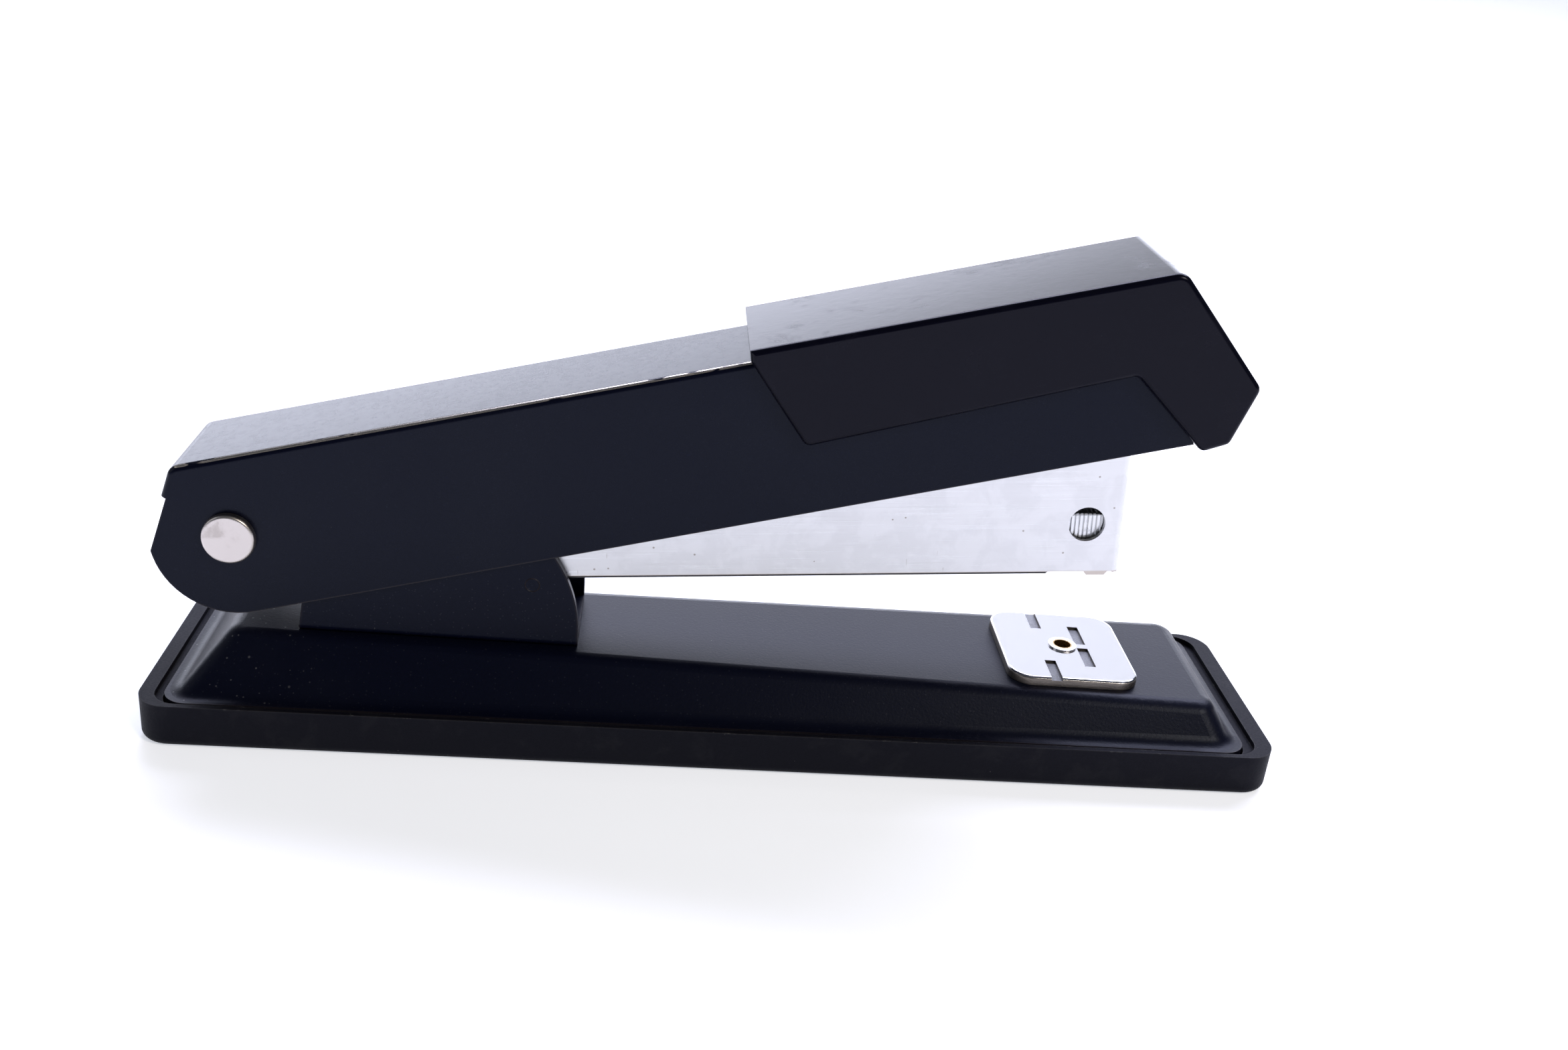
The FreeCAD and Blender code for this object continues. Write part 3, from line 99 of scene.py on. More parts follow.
def to_world(group):
    """The matrix from a group's own millimetres to the world's metres."""
    turn = Matrix.Rotation(-TILT[group], 4, "Y")
    return Matrix.Translation(ORIGIN[group]) @ turn @ Matrix.Scale(MM, 4)


def own_box(node, group):
    """A CAD node's lowest and highest corner in its group's own millimetres."""
    back = to_world(group).inverted()
    points = [back @ vertex.co for vertex in nodes[node].data.vertices]
    low = Vector([min(point[axis] for point in points) for axis in range(3)])
    high = Vector([max(point[axis] for point in points) for axis in range(3)])
    return low, high


handle_low, handle_high = own_box("handle_shell", "handle")
print("handle in its own mm:", handle_low.to_tuple(2), handle_high.to_tuple(2))

# %% [markdown]
# A finish is a small network of shader nodes. Five short helpers keep each network readable: one
# places a node and wires its inputs, one does arithmetic, one fades between two colours, one
# turns a soft value into a mask with a soft edge, and one writes a grey as a colour.

# %% Helpers for shader nodes
def place(tree, kind, inputs=None, **settings):
    node = tree.nodes.new(kind)
    for name, value in settings.items():
        setattr(node, name, value)
    for name, value in (inputs or {}).items():
        socket = node.inputs[name]
        if isinstance(value, bpy.types.NodeSocket):
            tree.links.new(value, socket)
        else:
            socket.default_value = value
    return node


def calc(tree, operation, a, b=0.0, clamp=False):
    node = place(tree, "ShaderNodeMath", {0: a, 1: b}, operation=operation, use_clamp=clamp)
    return node.outputs[0]


def fade(tree, amount, start, end):
    """A colour that goes from start to end as amount goes from 0 to 1."""
    node = place(tree, "ShaderNodeMix", {0: amount, 6: start, 7: end}, data_type="RGBA")
    return node.outputs[2]


def between(tree, value, low, high, to_low=0.0, to_high=1.0):
    """Value from low to high becomes to_low to to_high, and is held there outside."""
    inputs = {"Value": value, "From Min": low, "From Max": high, "To Min": to_low,
              "To Max": to_high}
    node = place(tree, "ShaderNodeMapRange", inputs, interpolation_type="SMOOTHSTEP")
    return node.outputs[0]


def grey(level):
    return (level, level, level, 1.0)


# %% [markdown]
# Effects that several finishes share are node groups with named inputs. Each group puts out a mask
# or a height, and each finish decides what that mask does to its own colour and gloss.

# %% A maker of node groups
def new_group(name, inputs, outputs):
    group = bpy.data.node_groups.new(name, "ShaderNodeTree")
    for label, value in inputs.items():
        kind = "NodeSocketVector" if label in ("Vector", "Stretch") else "NodeSocketFloat"
        socket = group.interface.new_socket(label, in_out="INPUT", socket_type=kind)
        if value is not None:
            socket.default_value = value
    for label in outputs:
        group.interface.new_socket(label, in_out="OUTPUT", socket_type="NodeSocketFloat")
    taken = group.nodes.new("NodeGroupInput").outputs
    given = group.nodes.new("NodeGroupOutput").inputs
    return group, taken, given


def use_group(tree, group, inputs):
    return place(tree, "ShaderNodeGroup", inputs, node_tree=group).outputs


# %% [markdown]
# Grain is the fine unevenness of sprayed enamel or moulded plastic. Noise at two sizes gives both
# the orange peel that softens a reflection and the finer tooth on top of it.

# %% Grain
grain_group, taken, given = new_group("grain", {"Vector": None, "Size": 1.0}, ["Height"])
frequency = calc(grain_group, "DIVIDE", 1.0, taken["Size"])
coarse = place(grain_group, "ShaderNodeTexNoise",
               {"Vector": taken["Vector"], "Scale": frequency, "Detail": 2.0, "Roughness": 0.55})
fine_frequency = calc(grain_group, "MULTIPLY", frequency, 3.7)
fine = place(grain_group, "ShaderNodeTexNoise",
             {"Vector": taken["Vector"], "Scale": fine_frequency, "Detail": 1.0})
coarse_part = calc(grain_group, "MULTIPLY", coarse.outputs["Fac"], 0.7)
fine_part = calc(grain_group, "MULTIPLY", fine.outputs["Fac"], 0.3)
grain_group.links.new(calc(grain_group, "ADD", coarse_part, fine_part), given["Height"])
print("group:", grain_group.name)

# %% [markdown]
# Dust and pits are separate specks. A Voronoi pattern scatters cells, each cell keeps a speck only
# if its own random number is low enough, and the distance to the cell's centre draws the speck.

# %% Specks
speck_group, taken, given = new_group(
    "specks", {"Vector": None, "Spacing": 3.0, "Radius": 0.12, "Share": 0.3}, ["Mask"])
frequency = calc(speck_group, "DIVIDE", 1.0, taken["Spacing"])
cells = place(speck_group, "ShaderNodeTexVoronoi", {"Vector": taken["Vector"], "Scale": frequency})
luck = place(speck_group, "ShaderNodeSeparateColor", {0: cells.outputs["Color"]})
kept = calc(speck_group, "LESS_THAN", luck.outputs[0], taken["Share"])
own_size = calc(speck_group, "MULTIPLY_ADD", luck.outputs[1], 0.8)
own_radius = calc(speck_group, "MULTIPLY", own_size, taken["Radius"])
reach = calc(speck_group, "MULTIPLY", own_radius, frequency)
inside = calc(speck_group, "LESS_THAN", cells.outputs["Distance"], reach)
speck_group.links.new(calc(speck_group, "MULTIPLY", kept, inside), given["Mask"])
print("group:", speck_group.name)

# %% [markdown]
# Handling leaves cloudy patches where the gloss is duller. They are large soft noise, cut off
# below a level so that some of the surface stays clean.

# %% Smudges
smudge_group, taken, given = new_group(
    "smudges", {"Vector": None, "Size": 14.0, "Level": 0.5}, ["Mask"])
frequency = calc(smudge_group, "DIVIDE", 1.0, taken["Size"])
cloud = place(smudge_group, "ShaderNodeTexNoise",
              {"Vector": taken["Vector"], "Scale": frequency, "Detail": 5.0, "Roughness": 0.62,
               "Distortion": 0.4})
full_level = calc(smudge_group, "ADD", taken["Level"], 0.18)
smudge_group.links.new(between(smudge_group, cloud.outputs["Fac"], taken["Level"], full_level),
                       given["Mask"])
print("group:", smudge_group.name)

# %% [markdown]
# A scratch is long and thin. Noise that is squeezed across its length and stretched along it gives
# streaks, and only its highest ridges are kept. Stretch holds the factor for each axis: the axis
# with the smallest factor is the one that the scratches run along.

# %% Scratches
scratch_group, taken, given = new_group(
    "scratches", {"Vector": None, "Stretch": (0.04, 3.0, 3.0), "Level": 0.66}, ["Mask", "Height"])
squeezed = place(scratch_group, "ShaderNodeVectorMath", {0: taken["Vector"], 1: taken["Stretch"]},
                 operation="MULTIPLY")
streaks = place(scratch_group, "ShaderNodeTexNoise",
                {"Vector": squeezed.outputs[0], "Scale": 1.0, "Detail": 3.0, "Roughness": 0.6})
top_level = calc(scratch_group, "ADD", taken["Level"], 0.05)
scratch_group.links.new(between(scratch_group, streaks.outputs["Fac"], taken["Level"], top_level),
                        given["Mask"])
scratch_group.links.new(streaks.outputs["Fac"], given["Height"])
print("group:", scratch_group.name)

# %% [markdown]
# Paint rubs thin first on outside corners, and the same corners catch a thin line of light. The
# Bevel node gives the normal that a slightly rounded corner would have, and where that differs from
# the real normal there is a corner. Some pieces use this mask for real wear, and the enamels use it
# for a painted highlight along their bends.

# %% Edge wear and painted corner highlights
edge_group, taken, given = new_group(
    "edges", {"Radius": 0.0004, "Start": 0.02, "Full": 0.2}, ["Mask"])
rounded = place(edge_group, "ShaderNodeBevel", {"Radius": taken["Radius"]}, samples=6)
surface = edge_group.nodes.new("ShaderNodeNewGeometry")
agreement = place(edge_group, "ShaderNodeVectorMath",
                  {0: rounded.outputs[0], 1: surface.outputs["Normal"]}, operation="DOT_PRODUCT")
difference = calc(edge_group, "SUBTRACT", 1.0, agreement.outputs["Value"])
edge_group.links.new(between(edge_group, difference, taken["Start"], taken["Full"]), given["Mask"])
print("group:", edge_group.name)


# %% [markdown]
# Each finish starts the same way: a Principled shader, and coordinates in millimetres in the frame
# of the group that carries the piece. The Mapping node takes the world's metres back to there.

# %% Start of a finish
def new_finish(name, group="base", **settings):
    material = bpy.data.materials.new(name)
    material.use_nodes = True
    tree = material.node_tree
    shader = tree.nodes["Principled BSDF"]
    for socket, value in settings.items():
        shader.inputs[socket.replace("_", " ")].default_value = value
    held = place(tree, "ShaderNodeTexCoord").outputs["Object"]
    mapping = place(tree, "ShaderNodeMapping",
                    {"Vector": held, "Location": ORIGIN[group],
                     "Rotation": (0.0, -TILT[group], 0.0), "Scale": (MM, MM, MM)},
                    vector_type="TEXTURE")
    return material, tree, shader, mapping.outputs[0]


def wire(tree, shader, color=None, roughness=None, height=None, depth=0.05, metallic=None):
    """Joins a finish's colour, roughness and height to its shader; depth is in millimetres."""
    if color is not None:
        tree.links.new(color, shader.inputs["Base Color"])
    if roughness is not None:
        tree.links.new(roughness, shader.inputs["Roughness"])
    if metallic is not None:
        tree.links.new(metallic, shader.inputs["Metallic"])
    if height is not None:
        bump = place(tree, "ShaderNodeBump",
                     {"Height": height, "Strength": 1.0, "Distance": depth * MM})
        tree.links.new(bump.outputs[0], shader.inputs["Normal"])


def facing_up(tree):
    """How much the surface faces up in its object's own frame: 1 for a top, 0 for a side."""
    normal = place(tree, "ShaderNodeTexCoord").outputs["Normal"]
    up = place(tree, "ShaderNodeSeparateXYZ", {0: normal}).outputs["Z"]
    return calc(tree, "MAXIMUM", up, 0.0)


# %% [markdown]
# The base plate and the handle are pressed steel under black stoving enamel: nearly black, satin,
# with a faint orange peel. The plate's spray is coarser than the handle's, and pale dust has
# gathered on the plate's rear. On both, the outside corners fade to brown as a painted highlight
# of the warm gleam that the bends catch. Along the upper half of the handle's two long top bends,
# where the distance from the middle plus twice the height is greatest, dashes of bare metal are
# painted: worn enamel, and also the painted highlight line that these bends catch.

# %% Enamel finishes
BEND_ROUND = 1.0
BEND_LEVEL = handle_high.y + 2.0 * handle_high.z - BEND_ROUND * (3.0 - math.sqrt(5.0))
COOL_GLOSS = (0.78, 0.85, 1.0, 1.0)
DUST_COLOR = (0.16, 0.15, 0.14, 1)
# The colour of bare metal on the bends, which also paints their highlight line.
BARE_STEEL_AND_HIGHLIGHT = (0.66, 0.6, 0.52, 1)
POWDER_START = -58.0
POWDER_FULL = -74.0


def bend_wear_and_highlight(tree, own):
    """A mask of worn dashes along the handle's two long top bends; it also paints their highlight
    line.
    """
    axes = place(tree, "ShaderNodeSeparateXYZ", {0: own})
    across = calc(tree, "ABSOLUTE", axes.outputs["Y"])
    reach = calc(tree, "ADD", across, calc(tree, "MULTIPLY", axes.outputs["Z"], 2.0))
    dashes = use_group(tree, scratch_group,
                       {"Vector": own, "Stretch": (0.1, 0.5, 0.5), "Level": 0.38})
    on_bend = between(tree, reach, BEND_LEVEL - 0.16, BEND_LEVEL - 0.04)
    return calc(tree, "MULTIPLY", on_bend, dashes["Mask"])


def enamel(name, group, peel, roughness, dark, cloudy):
    """Satin black enamel; the caller adds the wear and the painted highlights that are peculiar to
    its piece.
    """
    material, tree, shader, own = new_finish(name, group, Specular_IOR_Level=0.13,
                                             Specular_Tint=COOL_GLOSS)
    skin = use_group(tree, grain_group, {"Vector": own, "Size": peel})["Height"]
    smudge = use_group(tree, smudge_group, {"Vector": own, "Size": 30.0, "Level": 0.5})["Mask"]
    dust = use_group(tree, speck_group,
                     {"Vector": own, "Spacing": 2.6, "Radius": 0.09, "Share": 0.14})
    base = fade(tree, smudge, dark, cloudy)
    color = fade(tree, calc(tree, "MULTIPLY", dust["Mask"], 0.35), base, DUST_COLOR)
    grainy = between(tree, skin, 0.35, 0.65, roughness - 0.015, roughness + 0.015)
    rough = calc(tree, "ADD", grainy, calc(tree, "MULTIPLY", smudge, 0.012))
    return material, tree, shader, own, skin, color, rough


def handle_enamel():
    material, tree, shader, own, skin, color, rough = enamel(
        "handle_enamel", "handle", 1.1, 0.26, (0.002, 0.0026, 0.009, 1), (0.003, 0.0036, 0.010, 1))
    # The corners fade to brown as a painted highlight of the gleam along the bends.
    corner_sheen = use_group(tree, edge_group, {"Radius": 0.0005})["Mask"]
    brown_corner_sheen = fade(tree, calc(tree, "MULTIPLY", corner_sheen, 0.3), color, (0.12, 0.1, 0.085, 1))
    # Bare metal dashes along the bends: worn enamel that also paints the bends' highlight line.
    bare = bend_wear_and_highlight(tree, own)
    wire(tree, shader, fade(tree, bare, brown_corner_sheen, BARE_STEEL_AND_HIGHLIGHT), rough, skin, 0.002, bare)
    return material


def base_enamel():
    material, tree, shader, own, skin, color, rough = enamel(
        "base_enamel", "base", 0.42, 0.36, (0.0022, 0.003, 0.0105, 1), (0.0032, 0.004, 0.0115, 1))
    grit = use_group(tree, speck_group,
                     {"Vector": own, "Spacing": 0.5, "Radius": 0.1, "Share": 0.3})
    # The corners fade to warm brown as a painted highlight on the bends.
    corner_sheen = use_group(tree, edge_group, {"Radius": 0.0008})["Mask"]
    gritty = fade(tree, calc(tree, "MULTIPLY", grit["Mask"], 0.1), color, (0.1, 0.105, 0.12, 1))
    warm_corner_sheen = fade(tree, calc(tree, "MULTIPLY", corner_sheen, 0.25), gritty, (0.07, 0.055, 0.045, 1))
    along = place(tree, "ShaderNodeSeparateXYZ", {0: own}).outputs["X"]
    rear = between(tree, along, POWDER_START, POWDER_FULL)
    powder = use_group(tree, speck_group,
                       {"Vector": own, "Spacing": 1.1, "Radius": 0.16, "Share": 0.5})
    flour = calc(tree, "MULTIPLY", calc(tree, "MULTIPLY", powder["Mask"], rear), facing_up(tree))
    dusty = fade(tree, calc(tree, "MULTIPLY", flour, 0.5), warm_corner_sheen, (0.14, 0.14, 0.15, 1))
    wire(tree, shader, dusty, rough, skin, 0.03)
    return material


finishes = {"handle_enamel": handle_enamel(), "base_enamel": base_enamel()}
print("enamels:", sorted(finishes))

# %% [markdown]
# The cap is moulded plastic, glossier than the enamel beside it. Fingers have left dull patches on
# its top.

# %% Cap plastic
def cap_plastic():
    material, tree, shader, own = new_finish("cap_plastic", "handle", Specular_IOR_Level=0.12,
                                             Specular_Tint=(0.85, 0.86, 1.0, 1.0))
    skin = use_group(tree, grain_group, {"Vector": own, "Size": 1.6})["Height"]
    smudge = use_group(tree, smudge_group, {"Vector": own, "Size": 9.0, "Level": 0.52})["Mask"]
    hairline = use_group(tree, scratch_group,
                         {"Vector": own, "Stretch": (0.05, 2.6, 2.6), "Level": 0.7})
    base = fade(tree, smudge, (0.002, 0.002, 0.006, 1), (0.0035, 0.0035, 0.008, 1))
    color = fade(tree, calc(tree, "MULTIPLY", hairline["Mask"], 0.3), base, grey(0.05))
    rough = between(tree, smudge, 0.0, 1.0, 0.2, 0.3)
    wire(tree, shader, color, rough, skin, 0.012)
    return material


finishes["cap_plastic"] = cap_plastic()


# %% [markdown]
# The pad is a soft rubber-like moulding: matt, and scuffed to grey along its rim.

# %% Pad rubber
def pad_rubber():
    material, tree, shader, own = new_finish("pad_rubber", "base", Specular_IOR_Level=0.08,
                                             Specular_Tint=(0.8, 0.86, 1.0, 1.0))
    tooth = use_group(tree, grain_group, {"Vector": own, "Size": 0.35})["Height"]
    scuff = use_group(tree, smudge_group, {"Vector": own, "Size": 5.0, "Level": 0.5})["Mask"]
    rim = use_group(tree, edge_group, {"Radius": 0.0005, "Start": 0.03, "Full": 0.3})["Mask"]
    dust = use_group(tree, speck_group,
                     {"Vector": own, "Spacing": 1.9, "Radius": 0.1, "Share": 0.2})["Mask"]
    base = fade(tree, scuff, (0.0055, 0.0055, 0.0095, 1), (0.0085, 0.0085, 0.0125, 1))
    dusty = fade(tree, calc(tree, "MULTIPLY", dust, 0.3), base, grey(0.12))
    chip = use_group(tree, smudge_group, {"Vector": own, "Size": 2.2, "Level": 0.55})["Mask"]
    worn = calc(tree, "MULTIPLY", rim, between(tree, chip, 0.0, 1.0, 0.12, 0.6))
    color = fade(tree, worn, dusty, (0.16, 0.155, 0.15, 1))
    rough = between(tree, tooth, 0.3, 0.7, 0.5, 0.62)
    wire(tree, shader, color, rough, tooth, 0.03)
    return material


finishes["pad_rubber"] = pad_rubber()


# %% [markdown]
# The magazine is bright nickel plate over rolled steel. The rolling left fine lines along the
# sheet, handling left grey clouds and specks, and use left a few short dark scratches. Below the
# channel's bottom edge, the lug and the tab show brownish sheared steel.

# %% Magazine nickel
MAGAZINE_BOTTOM = -8.7
NICKEL = (0.6, 0.605, 0.625, 1)
CLOUDED_NICKEL = (0.565, 0.57, 0.59, 1)
OLD_SCRATCH = (0.25, 0.23, 0.2, 1)
PIT_COLOR = (0.2, 0.17, 0.14, 1)
SHEARED_STEEL = (0.42, 0.36, 0.31, 1)


def magazine_nickel():
    material, tree, shader, own = new_finish("magazine_nickel", "magazine", Metallic=1.0)
    height = place(tree, "ShaderNodeSeparateXYZ", {0: own}).outputs["Z"]
    rolled = use_group(tree, scratch_group,
                       {"Vector": own, "Stretch": (0.05, 7.0, 7.0), "Level": 0.62})
    drawn = use_group(tree, scratch_group,
                      {"Vector": own, "Stretch": (5.0, 0.12, 0.12), "Level": 0.66})
    crossed = use_group(tree, scratch_group,
                        {"Vector": own, "Stretch": (2.4, 0.3, 0.3), "Level": 0.72})
    cloud = use_group(tree, smudge_group, {"Vector": own, "Size": 5.0, "Level": 0.42})["Mask"]
    pit = use_group(tree, speck_group,
                    {"Vector": own, "Spacing": 2.4, "Radius": 0.15, "Share": 0.3})["Mask"]
    plain = fade(tree, cloud, NICKEL, CLOUDED_NICKEL)
    lined = fade(tree, calc(tree, "MULTIPLY", drawn["Mask"], 0.16), plain, grey(0.5))
    marked = fade(tree, calc(tree, "MULTIPLY", crossed["Mask"], 0.6), lined, OLD_SCRATCH)
    specked = fade(tree, calc(tree, "MULTIPLY", pit, 0.7), marked, PIT_COLOR)
    sheared = between(tree, height, MAGAZINE_BOTTOM + 0.25, MAGAZINE_BOTTOM - 0.05)
    color = fade(tree, calc(tree, "MULTIPLY", sheared, 0.75), specked, SHEARED_STEEL)
    rough = between(tree, rolled["Height"], 0.3, 0.7, 0.27, 0.37)
    wire(tree, shader, color, rough, rolled["Height"], 0.008)
    return material


finishes["magazine_nickel"] = magazine_nickel()


# %% [markdown]
# The other metals differ only in colour and gloss, so one function makes them: the barrelled pin,
# the zinc-coated staples, the springs and the plain steel inside.

# %% Other metals
def metal(name, group, color, dull, roughness, spread):
    material, tree, shader, own = new_finish(name, group, Metallic=1.0)
    skin = use_group(tree, grain_group, {"Vector": own, "Size": 0.5})["Height"]
    mark = use_group(tree, scratch_group,
                     {"Vector": own, "Stretch": (0.35, 3.0, 3.0), "Level": 0.66})
    cloud = use_group(tree, smudge_group, {"Vector": own, "Size": 3.5, "Level": 0.48})["Mask"]
    marked = calc(tree, "MULTIPLY", mark["Mask"], 0.5)
    soft = calc(tree, "MULTIPLY", calc(tree, "ADD", marked, cloud), 0.6)
    tint = fade(tree, soft, color, dull)
    rough = between(tree, cloud, 0.0, 1.0, roughness, roughness + spread)
    wire(tree, shader, tint, rough, skin, 0.006)
    return material


# name: group, clean colour, dull colour, roughness, how much rougher the dull patches are
METALS = {
    "pin_nickel": ("base", (0.54, 0.5, 0.48, 1), (0.42, 0.38, 0.36, 1), 0.34, 0.1),
    "staple_zinc": ("magazine", (0.6, 0.61, 0.63, 1), (0.45, 0.46, 0.48, 1), 0.25, 0.1),
    "spring_steel": ("magazine", (0.5, 0.5, 0.53, 1), (0.34, 0.33, 0.34, 1), 0.3, 0.12),
    "plain_steel": ("magazine", (0.56, 0.56, 0.58, 1), (0.42, 0.41, 0.4, 1), 0.32, 0.12),
}
for metal_name, values in METALS.items():
    finishes[metal_name] = metal(metal_name, *values)
print("metals:", sorted(METALS))


# %% [markdown]
# The anvil is punched from thick sheet and chromed. Its top is a mirror, the stamped grooves are
# rough and painted dark grey as painted shade in the recesses, and the sheared sides are brownish
# bare metal. Height in the anvil's own frame tells the grooves from the top, and the direction that
# the surface faces tells the sides.

# %% Anvil chrome
CHROME = (0.9, 0.9, 0.95, 1)
CLOUDED_CHROME = (0.75, 0.75, 0.8, 1)


def anvil_chrome():
    material, tree, shader, own = new_finish("anvil_chrome", "anvil", Metallic=1.0)
    height = place(tree, "ShaderNodeSeparateXYZ", {0: own}).outputs["Z"]
    in_groove = between(tree, height, ANVIL_WALL - 0.15, ANVIL_WALL - 0.35)
    side = between(tree, facing_up(tree), 0.75, 0.3)
    rough_skin = use_group(tree, grain_group, {"Vector": own, "Size": 0.35})["Height"]
    drag = use_group(tree, scratch_group,
                     {"Vector": own, "Stretch": (0.5, 5.0, 5.0), "Level": 0.6})
    cloud = use_group(tree, smudge_group, {"Vector": own, "Size": 4.0, "Level": 0.56})["Mask"]
    mirror = fade(tree, calc(tree, "MULTIPLY", cloud, 0.4), CHROME, CLOUDED_CHROME)
    # The grooves are painted dark grey as painted shade in the recesses; they are also rougher.
    groove_shade = fade(tree, rough_skin, (0.04, 0.042, 0.048, 1), (0.17, 0.172, 0.18, 1))
    sheared = fade(tree, drag["Height"], (0.1, 0.09, 0.085, 1), (0.3, 0.27, 0.24, 1))
    color = fade(tree, side, fade(tree, in_groove, mirror, groove_shade), sheared)
    raw = calc(tree, "MAXIMUM", in_groove, side)
    smooth = between(tree, cloud, 0.0, 1.0, 0.05, 0.12)
    rough = place(tree, "ShaderNodeMix", {0: raw, 2: smooth, 3: 0.42}).outputs[0]
    wire(tree, shader, color, rough, calc(tree, "MULTIPLY", rough_skin, raw), 0.06)
    return material


finishes["anvil_chrome"] = anvil_chrome()

# %% [markdown]
# The eyelet is brass, plated like the anvil where it was spread over the top, and bare inside.

# %% Eyelet brass
EYELET_BARE_RADIUS = 1.6


def eyelet_brass():
    material, tree, shader, own = new_finish("eyelet_brass", "anvil", Metallic=1.0)
    across = place(tree, "ShaderNodeVectorMath", {0: own, 1: (1.0, 1.0, 0.0)},
                   operation="MULTIPLY")
    reach = place(tree, "ShaderNodeVectorMath", {0: across.outputs[0]}, operation="LENGTH")
    radius = reach.outputs["Value"]
    plated = between(tree, radius, EYELET_BARE_RADIUS, EYELET_BARE_RADIUS + 0.15)
    skin = use_group(tree, grain_group, {"Vector": own, "Size": 0.4})["Height"]
    brass = fade(tree, skin, (0.34, 0.21, 0.09, 1), (0.6, 0.42, 0.2, 1))
    color = fade(tree, plated, brass, (0.78, 0.76, 0.76, 1))
    wire(tree, shader, color, between(tree, skin, 0.3, 0.7, 0.2, 0.34), skin, 0.02)
    return material


finishes["eyelet_brass"] = eyelet_brass()

# %% [markdown]
# The lower rail is steel under a thin black finish that its sliding edges have worn through.

# %% Rail black
def rail_black():
    material, tree, shader, own = new_finish("rail_black", "magazine", Specular_IOR_Level=0.4)
    tooth = use_group(tree, grain_group, {"Vector": own, "Size": 0.4})["Height"]
    worn = use_group(tree, edge_group, {"Radius": 0.0003, "Start": 0.05, "Full": 0.4})["Mask"]
    rub = use_group(tree, scratch_group,
                    {"Vector": own, "Stretch": (0.08, 3.0, 3.0), "Level": 0.6})["Mask"]
    rubbed = calc(tree, "ADD", worn, calc(tree, "MULTIPLY", rub, 0.3), True)
    bare = calc(tree, "MULTIPLY", rubbed, 0.35)
    color = fade(tree, bare, (0.012, 0.012, 0.015, 1), (0.35, 0.33, 0.31, 1))
    wire(tree, shader, color, between(tree, tooth, 0.3, 0.7, 0.36, 0.46), tooth, 0.01)
    return material


finishes["rail_black"] = rail_black()

# %% [markdown]
# The record names a material slot for each part, so each CAD node's finish is looked up there.

# %% Dress the CAD nodes
subparts = frame["record"]["subparts"]
for part in subparts:
    for slot in nodes[part["node"]].material_slots:
        slot.material = finishes[part["material_slot"]]
print("dressed:", len(subparts))

# %% [markdown]
# The pieces that this script adds all end the same way: the finished bmesh becomes an object at
# the origin, which rides a body, wears a finish, and may stand in for a CAD node.

# %% Adding a piece
def add_piece(form, name, body, slot_name, replaced=None):
    mesh = bpy.data.meshes.new(name)
    form.to_mesh(mesh)
    form.free()
    mesh.materials.append(finishes[slot_name])
    piece = bpy.data.objects.new(name, mesh)
    bpy.context.scene.collection.objects.link(piece)
    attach(piece, body)
    if replaced:
        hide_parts(replaced)
    print(name, "faces:", len(mesh.polygons))
    return piece


# %% [markdown]
# The CAD model has the staples as one plain strip. Here each staple of the strip is its own bent
# wire with broken edges, so the grooves between them show through the magazine's window. Every
# wire is four U-shaped loops along X: a smaller one, two full ones and a smaller one.

# %% Staples
STAPLE_WIRE = 0.7
STAPLE_ROUND = 0.35
BROKEN_EDGE = 0.13
strip_low, strip_high = own_box("staple_strip", "magazine")
STAPLE_COUNT = round((strip_high.x - strip_low.x) / STAPLE_WIRE)


def u_loop(inset):
    """The outline of one bent wire, as (y, z) points, drawn in by the given inset."""
    side = strip_high.y - inset
    top = strip_high.z - inset
    foot = strip_low.z + inset
    inner_side = strip_high.y - STAPLE_WIRE + inset
    inner_top = strip_high.z - STAPLE_WIRE + inset
    shoulder = [(side, top - STAPLE_ROUND), (side - 0.1 * STAPLE_ROUND, top - 0.5 * STAPLE_ROUND),
                (side - 0.5 * STAPLE_ROUND, top - 0.1 * STAPLE_ROUND), (side - STAPLE_ROUND, top)]
    half = [(inner_side, inner_top), (inner_side, foot), (side, foot)] + shoulder
    return half + [(-y, z) for y, z in reversed(half)]


def make_staple_wires():
    form = bmesh.new()
    pitch = (strip_high.x - strip_low.x) / STAPLE_COUNT
    for number in range(STAPLE_COUNT):
        start = strip_low.x + number * pitch
        stations = [(start, BROKEN_EDGE), (start + BROKEN_EDGE, 0.0),
                    (start + pitch - BROKEN_EDGE, 0.0), (start + pitch, BROKEN_EDGE)]
        loops = [[form.verts.new((x, y, z)) for y, z in u_loop(inset)] for x, inset in stations]
        for first, second in zip(loops, loops[1:]):
            for spot in range(len(first)):
                after = (spot + 1) % len(first)
                form.faces.new((first[spot], first[after], second[after], second[spot]))
        form.faces.new(loops[0][::-1])
        form.faces.new(loops[-1])
    bmesh.ops.recalc_face_normals(form, faces=form.faces[:])
    bmesh.ops.transform(form, matrix=to_world("magazine"), verts=form.verts[:])
    add_piece(form, "staple_wires", "magazine", "staple_zinc", "staple_strip")


make_staple_wires()

# %% [markdown]
# Each ear of the bracket carries a small pressed ring near its front edge, above the plate. The
# ring is a low three-sided ridge turned about Y and half sunk into the ear.

# %% Rings on the bracket ears
RING_X = -31.9
RING_Z = 25.7
RING_RADIUS = 1.15
RING_HALF_WIDTH = 0.16
RING_HEIGHT = 0.1
RING_SUNK = 0.05
RING_STEPS = 40
SAME_POINT = 0.001


